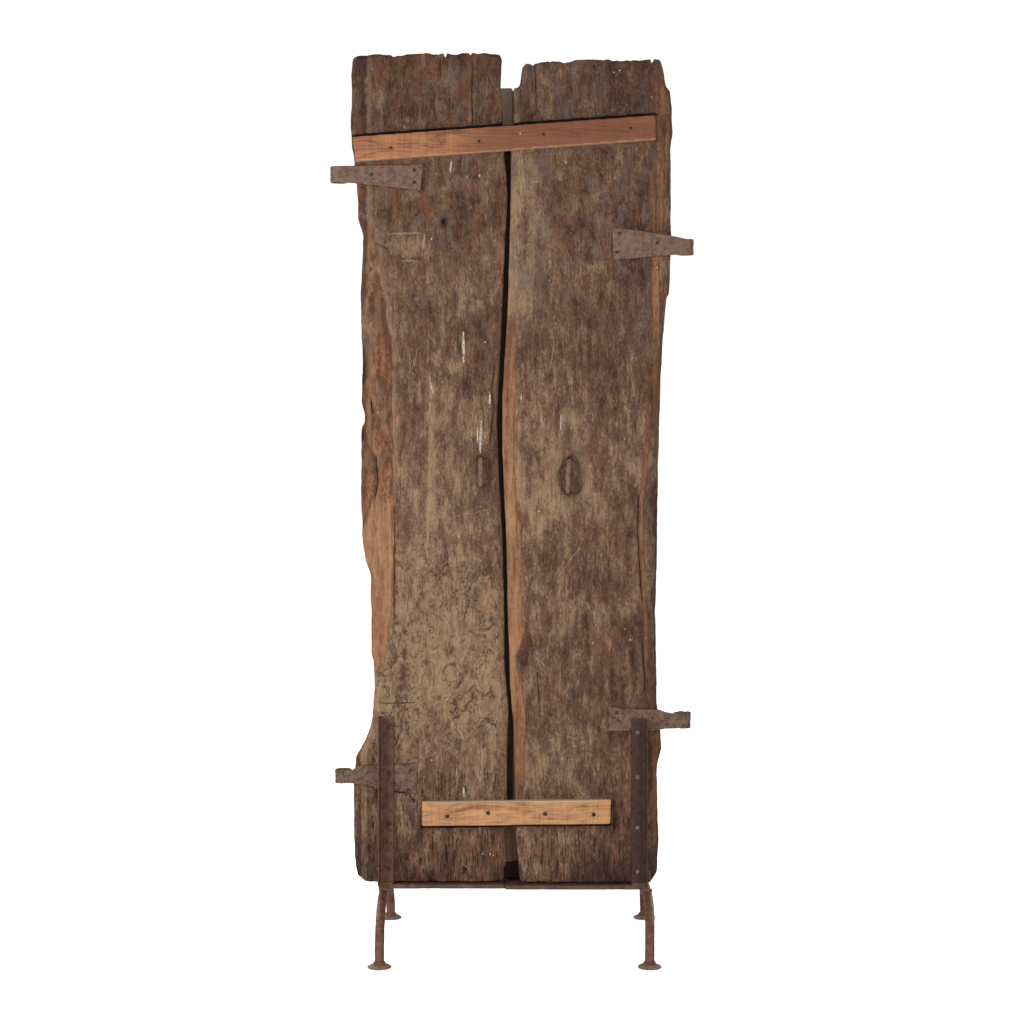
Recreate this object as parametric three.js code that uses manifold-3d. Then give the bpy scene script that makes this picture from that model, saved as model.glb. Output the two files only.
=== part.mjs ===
// Weathered two-plank door panel on a rusty iron stand.
// Millimetres, +Z up, the door's front faces -Y, and the floor is at z = 0.

import * as THREE from 'three';
import { mergeVertices } from 'three/addons/utils/BufferGeometryUtils.js';
import Module from 'manifold-3d';

const wasm = await Module();
wasm.setup();

// ---------------------------------------------------------------- driving dimensions
const GAP = 0.3;                 // clearance kept between pieces that touch
const PLANK_THICKNESS = 50;
const FRONT = -PLANK_THICKNESS / 2;
const BACK = PLANK_THICKNESS / 2;

const BATTEN_THICKNESS = 20;
const NAIL_SHANK = 2;            // radii of the driven nails and screws
const NAIL_HEAD = 4.6;
const SCREW_SHANK = 2.4;
const SCREW_HEAD = 5.2;
const NAIL_DEPTH = 30;           // how deep a fastener goes into a plank

const STRAP_THICKNESS = 6;
const EYE_RADIUS = 18;           // rolled eye of a strap hinge
const EYE_BORE = 11.5;

const ANGLE_LEG = 32;            // 1 1/4 inch angle iron
const ANGLE_THICKNESS = 4;
const RAIL_THICKNESS = 9.5;      // 2 1/2 x 3/8 inch flat bar
const RAIL_FRONT = -33;
const RAIL_BACK = 31;
const LEFT_RAIL_TOP = 125.8;
const RIGHT_RAIL_TOP = 123.8;

const LEG_RADIUS = 10;           // round bar of the legs
const FOOT_RADIUS = 24.5;
const FOOT_HEIGHT = 8;
const FOOT_REACH = 200;          // feet stand this far in front of and behind the planks

// ---------------------------------------------------------------- outlines, [x, z], clockwise from top left
const LEFT_PLANK_OUTLINE = [
  [-331, 1835], [-316, 1841], [-255, 1841], [-245, 1838], [-232, 1842], [-50, 1843], [-24, 1841],
  [-20, 1830], [-24, 1771], [-19, 1732], [-19, 1695], [-8, 1538], [-14.5, 1434], [-22, 1244],
  [-30, 1083], [-26, 959], [-19, 852], [-14.5, 670], [-15.5, 587], [-10, 525], [-6, 480],
  [-9, 400], [-10, 168], [-16.5, 158], [-16.5, 127], [-150, 126.3], [-303, 126.3], [-320, 138],
  [-328.5, 178], [-330, 328], [-325, 385], [-303, 424], [-293, 452], [-286.5, 525], [-288, 583],
  [-293, 598], [-295, 764], [-306, 793], [-312, 846], [-315, 945], [-314, 1069], [-308, 1076],
  [-308, 1096], [-314, 1122], [-312, 1203], [-316, 1337], [-311, 1433], [-311, 1466], [-321, 1499],
  [-323, 1569], [-333.5, 1653], [-336.5, 1690], [-334, 1767], [-336, 1800],
];
const RIGHT_PLANK_OUTLINE = [
  [3, 1770], [15, 1771], [20, 1813], [28, 1822], [48, 1823], [63, 1826], [162, 1829], [310, 1831],
  [315, 1820], [321, 1772], [329, 1767], [334.5, 1726], [334.5, 1676], [331, 1645], [332, 1471],
  [328, 1345], [322.5, 1338], [316, 1261], [309, 1147], [303.5, 919], [303, 813], [299, 687],
  [302, 487], [309, 439], [312, 401], [305, 373], [302, 348], [306, 204], [301.6, 146],
  [291, 124.3], [150, 124.3], [16, 124.3], [14, 146], [6, 247], [2.5, 449], [-4, 525],
  [-9, 670], [-12, 825], [-20.7, 1021], [-20.7, 1124], [-9, 1331], [-4, 1538], [-3, 1630], [3, 1703],
];
const UPPER_BATTEN_OUTLINE = [[-328.5, 1665.6], [294.6, 1710], [296.7, 1659.5], [-321, 1614]];
const LOWER_BATTEN_OUTLINE = [[-185.5, 298], [204, 302], [202.5, 252], [-185.5, 247.5]];

// Each strap runs from its eye to its inner end: top edge outwards in, bottom edge back out.
// `out` is the x of the eye's outer side and `side` says which way the eye points.
const STRAPS = {
  left_upper: {
    side: -1, out: -376.8, eye: [1573.5, 1607.5], front: FRONT - GAP - STRAP_THICKNESS,
    top: [[-213.8, 1609.4], [-183.5, 1613.1]],
    bottom: [[-188, 1556.2], [-261.6, 1564.6], [-325.4, 1571]],
    nails: [[-289.9, 1589], [-201.5, 1597.6], [-201.5, 1572.4]],
  },
  right_upper: {
    side: 1, out: 376.8, eye: [1424.3, 1457], front: FRONT - GAP - STRAP_THICKNESS,
    top: [[331.8, 1463.1], [266.5, 1473.5], [206.6, 1481.7]],
    bottom: [[208.7, 1413.5], [254.1, 1416], [298.5, 1421]],
    nails: [[299.6, 1447.5], [221.1, 1467.3], [216.9, 1428.7]],
  },
  left_lower: {
    side: -1, out: -367.3, eye: [331, 359.9], front: FRONT,
    top: [[-331, 360], [-317, 369.5], [-195.4, 373.3]],
    bottom: [[-195.4, 310.5], [-279.7, 319.8], [-297.5, 326.2], [-330.6, 331]],
    nails: [[-209.3, 360.5], [-215.3, 319]],
  },
  right_lower: {
    side: 1, out: 371.3, eye: [445, 478], front: FRONT,
    top: [[329.9, 477.6], [317.3, 480.7], [301.6, 485.9], [245.9, 486.3], [198.3, 492]],
    bottom: [[198.3, 439.5], [281, 439.5], [298.5, 440.5], [317.3, 445]],
    nails: [[215.9, 478.2]],
  },
};
const UPPER_BATTEN_NAILS = [[-249, 1642], [-68, 1655.5], [64.5, 1670], [244, 1682]];
const LOWER_BATTEN_SCREWS = [[-133, 268], [-49, 275], [68, 273], [168, 272]];
const LEFT_UPRIGHT_SCREWS = [[-254.5, 448], [-254.5, 352], [-254.5, 251], [-254.5, 157]];
const RIGHT_UPRIGHT_SCREWS = [[259.5, 438.5], [259.5, 346], [259.5, 242], [259.5, 151]];
const STRIP_NAILS = [[-32, 260], [-38, 720], [-38, 1210], [-34, 1650]];

const STRIP_BOTTOM = 155.3;
const STRIP_TOP = 1778.7;
const STRIP_THICKNESS = 22;
const STRIP_REBATE = 12;

// ---------------------------------------------------------------- materials
const finish = (color, roughness, metalness) => ({ color, roughness, metalness });
const DARK_WOOD = finish(0x6e5443, 0.85, 0);
const STRIP_WOOD = finish(0x7d6c5a, 0.85, 0);
const RED_WOOD = finish(0xa0694b, 0.7, 0);
const PALE_WOOD = finish(0xb98c5f, 0.7, 0);
const OLD_IRON = finish(0x6b564a, 0.8, 0.5);
const STAND_IRON = finish(0x574239, 0.7, 0.6);

// ---------------------------------------------------------------- solids
function signedVolume(points, index) {
  const a = new THREE.Vector3();
  const b = new THREE.Vector3();
  const c = new THREE.Vector3();
  let volume = 0;
  for (let i = 0; i < index.length; i += 3) {
    a.fromBufferAttribute(points, index[i]);
    b.fromBufferAttribute(points, index[i + 1]);
    c.fromBufferAttribute(points, index[i + 2]);
    volume += a.dot(b.cross(c)) / 6;
  }
  return volume;
}

// A closed three.js geometry as a boolean solid, facing outwards whatever way it was drawn.
function solid(geometry) {
  geometry.deleteAttribute('normal');
  geometry.deleteAttribute('uv');
  const merged = mergeVertices(geometry, 1e-3);
  const points = merged.getAttribute('position');
  const all = Array.from(merged.getIndex().array);
  const faces = [];
  for (let i = 0; i < all.length; i += 3) {
    const [p, q, r] = all.slice(i, i + 3);
    if (p !== q && q !== r && r !== p) {
      faces.push(p, q, r);
    }
  }
  if (signedVolume(points, faces) < 0) {
    faces.reverse();
  }
  return new wasm.Manifold(new wasm.Mesh({
    numProp: 3,
    vertProperties: new Float32Array(points.array),
    triVerts: new Uint32Array(faces),
  }));
}

// A solid as a named mesh with its own material.
function node(name, body, look) {
  const result = body.getMesh();
  const geometry = new THREE.BufferGeometry();
  geometry.setAttribute('position', new THREE.BufferAttribute(result.vertProperties, 3));
  geometry.setIndex(new THREE.BufferAttribute(result.triVerts, 1));
  geometry.computeVertexNormals();
  const mesh = new THREE.Mesh(geometry, new THREE.MeshStandardMaterial(look));
  mesh.name = name;
  return mesh;
}

// An outline in x and z, made solid between two depths in y.
function plate(outline, yFront, yBack) {
  const shape = new THREE.Shape(outline.map(([x, z]) => new THREE.Vector2(x, z)));
  const geometry = new THREE.ExtrudeGeometry(shape, { depth: yBack - yFront, bevelEnabled: false });
  geometry.rotateX(Math.PI / 2);
  geometry.translate(0, yBack, 0);
  return solid(geometry);
}

// A section in x and y, drawn up from zBottom to zTop.
function bar(section, zBottom, zTop) {
  const shape = new THREE.Shape(section.map(([x, y]) => new THREE.Vector2(x, y)));
  const geometry = new THREE.ExtrudeGeometry(shape, { depth: zTop - zBottom, bevelEnabled: false });
  geometry.translate(0, 0, zBottom);
  return solid(geometry);
}

function block(xLow, xHigh, yLow, yHigh, zLow, zHigh) {
  const geometry = new THREE.BoxGeometry(xHigh - xLow, yHigh - yLow, zHigh - zLow);
  geometry.translate((xLow + xHigh) / 2, (yLow + yHigh) / 2, (zLow + zHigh) / 2);
  return solid(geometry);
}

// A profile of [radius, y] points turned about a line parallel to Y through x, z.
function turned(profile, x, z, segments = 10) {
  const points = profile.map(([radius, y]) => new THREE.Vector2(radius, y));
  const geometry = new THREE.LatheGeometry(points, segments);
  geometry.translate(x, 0, z);
  return solid(geometry);
}

function verticalCylinder(radius, x, y, zLow, zHigh) {
  const geometry = new THREE.CylinderGeometry(radius, radius, zHigh - zLow, 28);
  geometry.rotateX(Math.PI / 2);
  geometry.translate(x, y, (zLow + zHigh) / 2);
  return solid(geometry);
}

// A round hole along Y, 8-sided, a clearance wider than the fastener in it.
function hole([x, z], radius, yFront, yBack) {
  const wide = radius + GAP;
  return turned([[0, yFront], [wide, yFront], [wide, yBack], [0, yBack]], x, z, 8);
}

// ---------------------------------------------------------------- fasteners
function domeHeadNail(name, [x, z], face, head, shank, length, look) {
  const seat = face - GAP;
  const profile = [
    [0, seat - head * 0.5], [head * 0.55, seat - head * 0.4], [head, seat - head * 0.12], [head, seat],
    [shank, seat], [shank, seat + length], [0, seat + length + shank * 2],
  ];
  return node(name, turned(profile, x, z), look);
}

// A flat head seated in the countersink that countersink() cuts.
const SINK_DEPTH = 2.8;
function flatHeadScrew(name, [x, z], face, length, look) {
  const top = face + GAP;
  const profile = [
    [0, top], [SCREW_HEAD - GAP, top], [SCREW_SHANK, top + SINK_DEPTH],
    [SCREW_SHANK, top + length], [0, top + length + SCREW_SHANK * 2],
  ];
  return node(name, turned(profile, x, z), look);
}

function countersink([x, z], face, yBack) {
  const wide = SCREW_SHANK + GAP;
  const bottom = face + SINK_DEPTH + 4 * GAP;
  return turned([
    [0, face - 1], [SCREW_HEAD + 4 * GAP, face - 1], [wide, bottom], [wide, yBack], [0, yBack],
  ], x, z, 12);
}

// ---------------------------------------------------------------- strap hinges
function strapOutline(strap, grow) {
  const eyeX = strap.out - strap.side * EYE_RADIUS;
  const inner = -strap.side * grow;
  const top = [[eyeX, strap.eye[1]], ...strap.top].map(([x, z]) => [x, z + grow]);
  const bottom = [...strap.bottom, [eyeX, strap.eye[0]]].map(([x, z]) => [x, z - grow]);
  top[top.length - 1][0] += inner;
  bottom[0][0] += inner;
  return [...top, ...bottom];
}

function strapHinge(strap) {
  const eyeX = strap.out - strap.side * EYE_RADIUS;
  const eyeY = strap.front + EYE_RADIUS;
  const [zLow, zHigh] = strap.eye;
  const strapBack = strap.front + STRAP_THICKNESS;
  let body = plate(strapOutline(strap, 0), strap.front, strapBack);
  body = body.add(verticalCylinder(EYE_RADIUS, eyeX, eyeY, zLow, zHigh));
  body = body.subtract(verticalCylinder(EYE_BORE, eyeX, eyeY, zLow - 5, zHigh + 5));
  // The end of the roll stops short of the strap's back, which leaves a slit.
  const slitX = [eyeX, eyeX - strap.side * (EYE_RADIUS + 2)].sort((a, b) => a - b);
  body = body.subtract(block(...slitX, strapBack, strapBack + 1.5, zLow - 5, zHigh + 5));
  for (const place of strap.nails) {
    body = body.subtract(hole(place, NAIL_SHANK, strap.front - 5, strapBack + 5));
  }
  return body;
}

// ---------------------------------------------------------------- handles
const STAPLE = { width: 10, depth: 7, stand: 5.6, tail: 22 };
const STAPLES = {
  left: { bottom: [-65, 947], top: [-65, 1004] },
  right: { bottom: [114.5, 934], top: [118, 1000] },
};

// A flat bar bent to a bridge with both tails driven into the plank.
function staple({ bottom, top }) {
  const back = FRONT - STAPLE.stand;
  const middle = back - STAPLE.depth / 2;
  const end = FRONT + STAPLE.tail;
  const path = new THREE.CurvePath();
  const at = ([x, z], y, dz = 0) => new THREE.Vector3(x, y, z + dz);
  const bend = 6;
  const stops = [
    at(bottom, end), at(bottom, middle + bend), at(bottom, middle), at(bottom, middle, bend),
    at(top, middle, -bend), at(top, middle), at(top, middle + bend), at(top, end),
  ];
  path.add(new THREE.LineCurve3(stops[0], stops[1]));
  path.add(new THREE.QuadraticBezierCurve3(stops[1], stops[2], stops[3]));
  path.add(new THREE.LineCurve3(stops[3], stops[4]));
  path.add(new THREE.QuadraticBezierCurve3(stops[4], stops[5], stops[6]));
  path.add(new THREE.LineCurve3(stops[6], stops[7]));
  const w = STAPLE.width / 2;
  const d = STAPLE.depth / 2;
  const section = new THREE.Shape([
    [d, w - 2], [d - 2, w], [2 - d, w], [-d, w - 2], [-d, 2 - w], [2 - d, -w], [d - 2, -w], [d, 2 - w],
  ].map(([a, b]) => new THREE.Vector2(a, b)));
  return solid(new THREE.ExtrudeGeometry(section, { steps: 26, extrudePath: path }));
}

function stapleHoles({ bottom, top }) {
  const half = Math.max(STAPLE.width, STAPLE.depth) / 2 + 2 * GAP;
  return [bottom, top].map(([x, z]) =>
    block(x - half, x + half, FRONT - 5, FRONT + STAPLE.tail + 1, z - half, z + half));
}

// The worn hollow beside or behind a handle: the cap of a long ellipsoid.
function hollow(x, z, halfWidth, halfHeight, depth) {
  const geometry = new THREE.SphereGeometry(1, 20, 14);
  geometry.scale(halfWidth, depth, halfHeight);
  geometry.translate(x, FRONT, z);
  return solid(geometry);
}

// ---------------------------------------------------------------- planks
const LOST_HINGE_SCAR = [[-262, 1467], [-181, 1470], [-180, 1412], [-232, 1413], [-262, 1428]];

function leftPlank() {
  let body = plate(LEFT_PLANK_OUTLINE, FRONT, BACK);
  const cuts = [
    plate(LOST_HINGE_SCAR, FRONT - 5, FRONT + 3),
    hollow(-50, 984, 20, 44, 10),
    hollow(-140.5, 1494, 5, 8, 16),
    plate(strapOutline(STRAPS.left_lower, 2 * GAP), FRONT - 5, FRONT + STRAP_THICKNESS + GAP),
    ...stapleHoles(STAPLES.left),
    ...STRIP_NAILS.map((place) => hole(place, NAIL_SHANK, BACK - NAIL_DEPTH - 6, BACK + 5)),
  ];
  cuts.forEach((cut) => { body = body.subtract(cut); });
  return body;
}

function rightPlank() {
  let body = plate(RIGHT_PLANK_OUTLINE, FRONT, BACK);
  const cuts = [
    hollow(124, 966, 29, 44, 14),
    plate(strapOutline(STRAPS.right_lower, 2 * GAP), FRONT - 5, FRONT + STRAP_THICKNESS + GAP),
    ...stapleHoles(STAPLES.right),
  ];
  cuts.forEach((cut) => { body = body.subtract(cut); });
  return body;
}

// ---------------------------------------------------------------- stand
// Angle iron with its flat flange on the planks and the other flange standing forward.
function upright(outerX, side, zBottom, zTop) {
  const rear = FRONT - GAP;
  const inner = outerX + side * ANGLE_LEG;
  const web = outerX + side * ANGLE_THICKNESS;
  const section = [
    [outerX, rear], [inner, rear], [inner, rear - ANGLE_THICKNESS + 1],
    [inner - side, rear - ANGLE_THICKNESS], [web + side * 2, rear - ANGLE_THICKNESS],
    [web, rear - ANGLE_THICKNESS - 2], [web, rear - ANGLE_LEG + 1],
    [web - side, rear - ANGLE_LEG], [outerX, rear - ANGLE_LEG],
  ];
  return bar(section, zBottom, zTop);
}

// One bent round bar makes the front and back leg of a side and passes under the rail.
function legArch(xFront, xMiddle, xBack, zTop) {
  const zFoot = FOOT_HEIGHT + GAP;
  const front = new THREE.CubicBezierCurve3(
    new THREE.Vector3(xFront, -FOOT_REACH, zFoot),
    new THREE.Vector3(xFront, -FOOT_REACH, zFoot + 62),
    new THREE.Vector3(xMiddle, -125, zTop),
    new THREE.Vector3(xMiddle, 0, zTop),
  );
  const back = new THREE.CubicBezierCurve3(
    new THREE.Vector3(xMiddle, 0, zTop),
    new THREE.Vector3(xMiddle, 125, zTop),
    new THREE.Vector3(xBack, FOOT_REACH, zFoot + 62),
    new THREE.Vector3(xBack, FOOT_REACH, zFoot),
  );
  const path = new THREE.CurvePath();
  path.add(front);
  path.add(back);
  const section = new THREE.Shape();
  section.absarc(0, 0, LEG_RADIUS, 0, 2 * Math.PI);
  return solid(new THREE.ExtrudeGeometry(section, { steps: 26, curveSegments: 6, extrudePath: path }));
}

function footDisc(x, y) {
  const profile = [
    [0, 0], [FOOT_RADIUS - 0.8, 0], [FOOT_RADIUS, 1], [FOOT_RADIUS - 0.5, 2.4], [20, 4.6], [15, 6.6],
    [11, FOOT_HEIGHT], [0, FOOT_HEIGHT],
  ].map(([radius, z]) => new THREE.Vector2(radius, z));
  const geometry = new THREE.LatheGeometry(profile, 24);
  geometry.rotateX(Math.PI / 2);
  geometry.translate(x, y, 0);
  return solid(geometry);
}

// ---------------------------------------------------------------- assembly
const group = new THREE.Group();
group.name = 'weathered_door';

const bodies = {
  left_plank: leftPlank(),
  right_plank: rightPlank(),
  upper_batten: plate(UPPER_BATTEN_OUTLINE, FRONT - GAP - BATTEN_THICKNESS, FRONT - GAP),
  lower_batten: plate(LOWER_BATTEN_OUTLINE, FRONT - GAP - BATTEN_THICKNESS, FRONT - GAP),
  meeting_strip: bar([
    [-45, BACK + GAP], [1.5, BACK + GAP], [1.5, BACK + STRIP_REBATE], [25, BACK + STRIP_REBATE],
    [25, BACK + STRIP_THICKNESS], [-45, BACK + STRIP_THICKNESS],
  ], STRIP_BOTTOM, STRIP_TOP),
  left_upright: upright(-275.6, 1, LEFT_RAIL_TOP + GAP, 472),
  right_upright: upright(278.3, -1, RIGHT_RAIL_TOP + GAP, 467),
};
for (const [name, strap] of Object.entries(STRAPS)) {
  bodies[`strap_hinge_${name}`] = strapHinge(strap);
}

// Drills one run of fasteners through the pieces that they hold together.
function drill(names, tools) {
  for (const name of names) {
    for (const tool of tools) {
      bodies[name] = bodies[name].subtract(tool);
    }
  }
}
const planks = ['left_plank', 'right_plank'];
const intoPlank = FRONT + NAIL_DEPTH + 6;
drill([...planks, 'upper_batten'], UPPER_BATTEN_NAILS.map((place) =>
  hole(place, NAIL_SHANK, FRONT - BATTEN_THICKNESS - 5, intoPlank)));
drill([...planks, 'lower_batten'], LOWER_BATTEN_SCREWS.map((place) =>
  countersink(place, FRONT - GAP - BATTEN_THICKNESS, intoPlank)));
drill([...planks, 'left_upright', 'strap_hinge_left_lower'], LEFT_UPRIGHT_SCREWS.map((place) =>
  countersink(place, FRONT - GAP - ANGLE_THICKNESS, intoPlank)));
drill([...planks, 'right_upright', 'strap_hinge_right_lower'], RIGHT_UPRIGHT_SCREWS.map((place) =>
  hole(place, SCREW_SHANK, FRONT - ANGLE_THICKNESS - 5, intoPlank)));
for (const strap of Object.values(STRAPS)) {
  drill(planks, strap.nails.map((place) => hole(place, NAIL_SHANK, strap.front, intoPlank)));
}
drill(['meeting_strip'], STRIP_NAILS.map((place) => hole(place, NAIL_SHANK, BACK - 5, BACK + 30)));

const looks = {
  left_plank: DARK_WOOD, right_plank: DARK_WOOD, upper_batten: RED_WOOD, lower_batten: PALE_WOOD,
  meeting_strip: STRIP_WOOD, left_upright: STAND_IRON, right_upright: STAND_IRON,
};
for (const [name, body] of Object.entries(bodies)) {
  group.add(node(name, body, looks[name] ?? OLD_IRON));
}

// Handles
for (const [side, place] of Object.entries(STAPLES)) {
  group.add(node(`staple_${side}`, staple(place), OLD_IRON));
}

// Fasteners
const battenFace = FRONT - GAP - BATTEN_THICKNESS;
const uprightFace = FRONT - GAP - ANGLE_THICKNESS;
UPPER_BATTEN_NAILS.forEach((place, i) => {
  const length = BATTEN_THICKNESS + NAIL_DEPTH;
  group.add(domeHeadNail(`upper_batten_nail_${i + 1}`, place, battenFace, 3.6, NAIL_SHANK, length, OLD_IRON));
});
LOWER_BATTEN_SCREWS.forEach((place, i) => {
  const length = BATTEN_THICKNESS + NAIL_DEPTH;
  group.add(flatHeadScrew(`lower_batten_screw_${i + 1}`, place, battenFace, length, OLD_IRON));
});
for (const [name, strap] of Object.entries(STRAPS)) {
  strap.nails.forEach((place, i) => {
    const label = `strap_nail_${name}_${i + 1}`;
    group.add(domeHeadNail(label, place, strap.front, NAIL_HEAD, NAIL_SHANK, NAIL_DEPTH, OLD_IRON));
  });
}
LEFT_UPRIGHT_SCREWS.forEach((place, i) => {
  group.add(flatHeadScrew(`left_upright_screw_${i + 1}`, place, uprightFace, NAIL_DEPTH, STAND_IRON));
});
RIGHT_UPRIGHT_SCREWS.forEach((place, i) => {
  const label = `right_upright_screw_${i + 1}`;
  group.add(domeHeadNail(label, place, uprightFace, SCREW_HEAD, SCREW_SHANK, NAIL_DEPTH, STAND_IRON));
});
const stripFace = -(BACK + STRIP_THICKNESS);
STRIP_NAILS.forEach(([x, z], i) => {
  // Driven from behind: drawn as a front nail, then turned about Z.
  const label = `meeting_strip_nail_${i + 1}`;
  const length = STRIP_THICKNESS + 23;
  const nail = domeHeadNail(label, [0, z], stripFace, NAIL_HEAD, NAIL_SHANK, length, OLD_IRON);
  nail.rotation.z = Math.PI;
  nail.position.x = x;
  group.add(nail);
});

// Stand
const leftRailBottom = LEFT_RAIL_TOP - RAIL_THICKNESS;
const rightRailBottom = RIGHT_RAIL_TOP - RAIL_THICKNESS;
const standParts = {
  left_rail: block(-275.6, -16, RAIL_FRONT, RAIL_BACK, leftRailBottom, LEFT_RAIL_TOP),
  right_rail: block(-14.8, 278.3, RAIL_FRONT, RAIL_BACK, rightRailBottom, RIGHT_RAIL_TOP),
  rail_splice_plate: block(-60, 45, 0, 28, rightRailBottom - GAP - 4, rightRailBottom - GAP),
  rear_upstand: block(-270, 272, BACK + 0.4, BACK + 5.4, LEFT_RAIL_TOP + GAP, STRIP_BOTTOM - 0.6),
  left_leg_arch: legArch(-262, -265.5, -264, leftRailBottom - GAP - LEG_RADIUS),
  right_leg_arch: legArch(272, 280, 288, rightRailBottom - GAP - LEG_RADIUS),
  foot_front_left: footDisc(-262, -FOOT_REACH),
  foot_back_left: footDisc(-264, FOOT_REACH),
  foot_front_right: footDisc(272, -FOOT_REACH),
  foot_back_right: footDisc(288, FOOT_REACH),
};
for (const [name, body] of Object.entries(standParts)) {
  group.add(node(name, body, STAND_IRON));
}

export default group;
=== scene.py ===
"""Weathered two-plank door panel on a rusty iron stand: the looks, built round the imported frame."""

import math

import bmesh
import bpy
import numpy as np
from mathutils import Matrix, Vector
from mathutils.bvhtree import BVHTree


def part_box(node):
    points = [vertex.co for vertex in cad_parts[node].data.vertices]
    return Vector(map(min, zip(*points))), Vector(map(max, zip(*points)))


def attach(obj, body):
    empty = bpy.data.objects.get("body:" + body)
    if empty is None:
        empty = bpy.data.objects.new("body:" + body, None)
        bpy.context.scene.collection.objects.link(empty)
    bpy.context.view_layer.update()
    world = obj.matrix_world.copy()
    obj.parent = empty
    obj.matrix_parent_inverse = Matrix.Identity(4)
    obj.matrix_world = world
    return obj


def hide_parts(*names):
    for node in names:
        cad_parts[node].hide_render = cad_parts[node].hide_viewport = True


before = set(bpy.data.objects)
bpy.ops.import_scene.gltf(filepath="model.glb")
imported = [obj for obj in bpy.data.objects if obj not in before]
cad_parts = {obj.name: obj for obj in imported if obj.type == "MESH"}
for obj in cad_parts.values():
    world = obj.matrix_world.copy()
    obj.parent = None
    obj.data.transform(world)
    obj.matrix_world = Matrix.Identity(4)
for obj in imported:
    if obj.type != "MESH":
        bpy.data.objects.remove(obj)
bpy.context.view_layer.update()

bl_info = {
    "name": "Weathered plank door",
    "version": (1, 0, 0),
    "blender": (4, 5, 0),
    "location": "View3D > Sidebar > Door",
    "description": "Models and finishes an old plank door panel on its iron stand",
    "category": "Add Mesh",
}

MM = 0.001


# ------------------------------------------------------------------ settings
def srgb(red, green, blue):
    """A display colour, 0 to 255, as the linear colour that shaders take."""
    parts = [c / 255 for c in (red, green, blue)]
    return tuple(c / 12.92 if c <= 0.04045 else ((c + 0.055) / 1.055) ** 2.4 for c in parts)


def colour_prop(name, description, *levels):
    """A colour setting; its default is given as display levels, 0 to 255."""
    return bpy.props.FloatVectorProperty(
        name=name, description=description, default=srgb(*levels), subtype="COLOR", size=3, min=0, max=1
    )


def length_prop(name, description, millimetres):
    return bpy.props.FloatProperty(
        name=name, description=description, default=millimetres * MM, unit="LENGTH", min=0.0001
    )


class DoorWoodSettings(bpy.types.PropertyGroup):
    """Sizes and colours of the planks, the battens and the meeting strip."""

    plank_voxel: length_prop("Plank grid", "Edge length of the planks' faces", 4.0)
    batten_voxel: length_prop("Batten grid", "Edge length of the battens' faces", 2.6)
    relief: length_prop("Relief", "Depth of the planks' worn hollows", 3.2)
    wane: length_prop("Wane", "How far a plank's edges are rounded back", 7.0)
    dark: colour_prop("Dark wood", "Old surface at its darkest", 70, 48, 39)
    purple: colour_prop("Purple wood", "Dark tone between the worn places", 98, 69, 58)
    brown: colour_prop("Brown wood", "Main tone of the old surface", 114, 84, 67)
    grey: colour_prop("Grey wood", "Dusty grey tone", 128, 101, 82)
    tan: colour_prop("Tan wood", "Places rubbed to pale wood", 147, 117, 90)
    light_tan: colour_prop("Light tan wood", "Palest rubbed places", 168, 138, 108)
    red: colour_prop("Red wood", "Reddish tone under the old surface", 128, 78, 58)
    olive: colour_prop("Olive wood", "Cool grey-brown blotches near the top", 121, 104, 94)
    ochre: colour_prop("Ochre wood", "Warm brown blotches near the top", 130, 86, 61)
    bare: colour_prop("Bare wood", "Bare wood at broken edges", 156, 110, 78)
    light_bare: colour_prop("Light bare wood", "Palest bare wood", 176, 132, 98)
    rust_wood: colour_prop("Rusty wood", "Deep orange streaks in bare wood", 130, 84, 58)
    batten_red: colour_prop("Upper batten", "Planed reddish wood", 152, 101, 69)
    batten_pale: colour_prop("Lower batten", "Planed pale wood", 170, 124, 84)


class DoorIronSettings(bpy.types.PropertyGroup):
    """Sizes and colours of the hinges, the fasteners and the stand."""

    strap_voxel: length_prop("Strap grid", "Edge length of the straps' faces", 1.7)
    stand_voxel: length_prop("Stand grid", "Edge length of the stand's faces", 2.0)
    pit_depth: length_prop("Pit depth", "How deep rust has eaten the straps", 0.9)
    iron: colour_prop("Iron", "Dull brown-grey skin of the upper straps", 114, 91, 79)
    iron_dark: colour_prop("Dark iron", "Darker scale on the old iron", 76, 57, 48)
    crust: colour_prop("Crusted iron", "Skin of the lower straps", 109, 87, 74)
    stand: colour_prop("Stand iron", "Brown skin of the stand", 109, 76, 59)
    stand_dark: colour_prop("Stand dark", "Darker skin of the stand", 66, 47, 39)
    angle: colour_prop("Angle iron", "Skin of the left upright", 96, 65, 51)
    # the right upright's skin is the left one's made darker: painted shade
    shaded_angle: colour_prop("Dark angle iron", "Skin of the right upright", 67, 45, 35)
    rail: colour_prop("Rail iron", "Skin of the rails", 90, 68, 57)
    foot: colour_prop("Foot iron", "Dusty skin of the foot discs", 126, 105, 90)
    rust: colour_prop("Rust", "Orange-brown rust", 134, 90, 65)
    nail: colour_prop("Nail", "Nearly black iron", 42, 32, 27)


class DoorStageSettings(bpy.types.PropertyGroup):
    """The camera, the lights and the floor."""

    distance: bpy.props.FloatProperty(
        name="Camera distance", description="From the planks' face", default=4.07, unit="LENGTH"
    )
    height: bpy.props.FloatProperty(
        name="Camera height", description="Above the floor", default=1.052, unit="LENGTH"
    )
    lens: bpy.props.FloatProperty(
        name="Lens", description="Focal length in millimetres", default=69.3, unit="CAMERA"
    )
    key: bpy.props.FloatProperty(
        name="Key light", description="Power of the larger softbox", default=24.0, unit="POWER"
    )
    ambient: bpy.props.FloatProperty(
        name="Ambient", description="Light from all round", default=0.33
    )


def settings(name):
    return getattr(bpy.context.scene, name)


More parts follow.
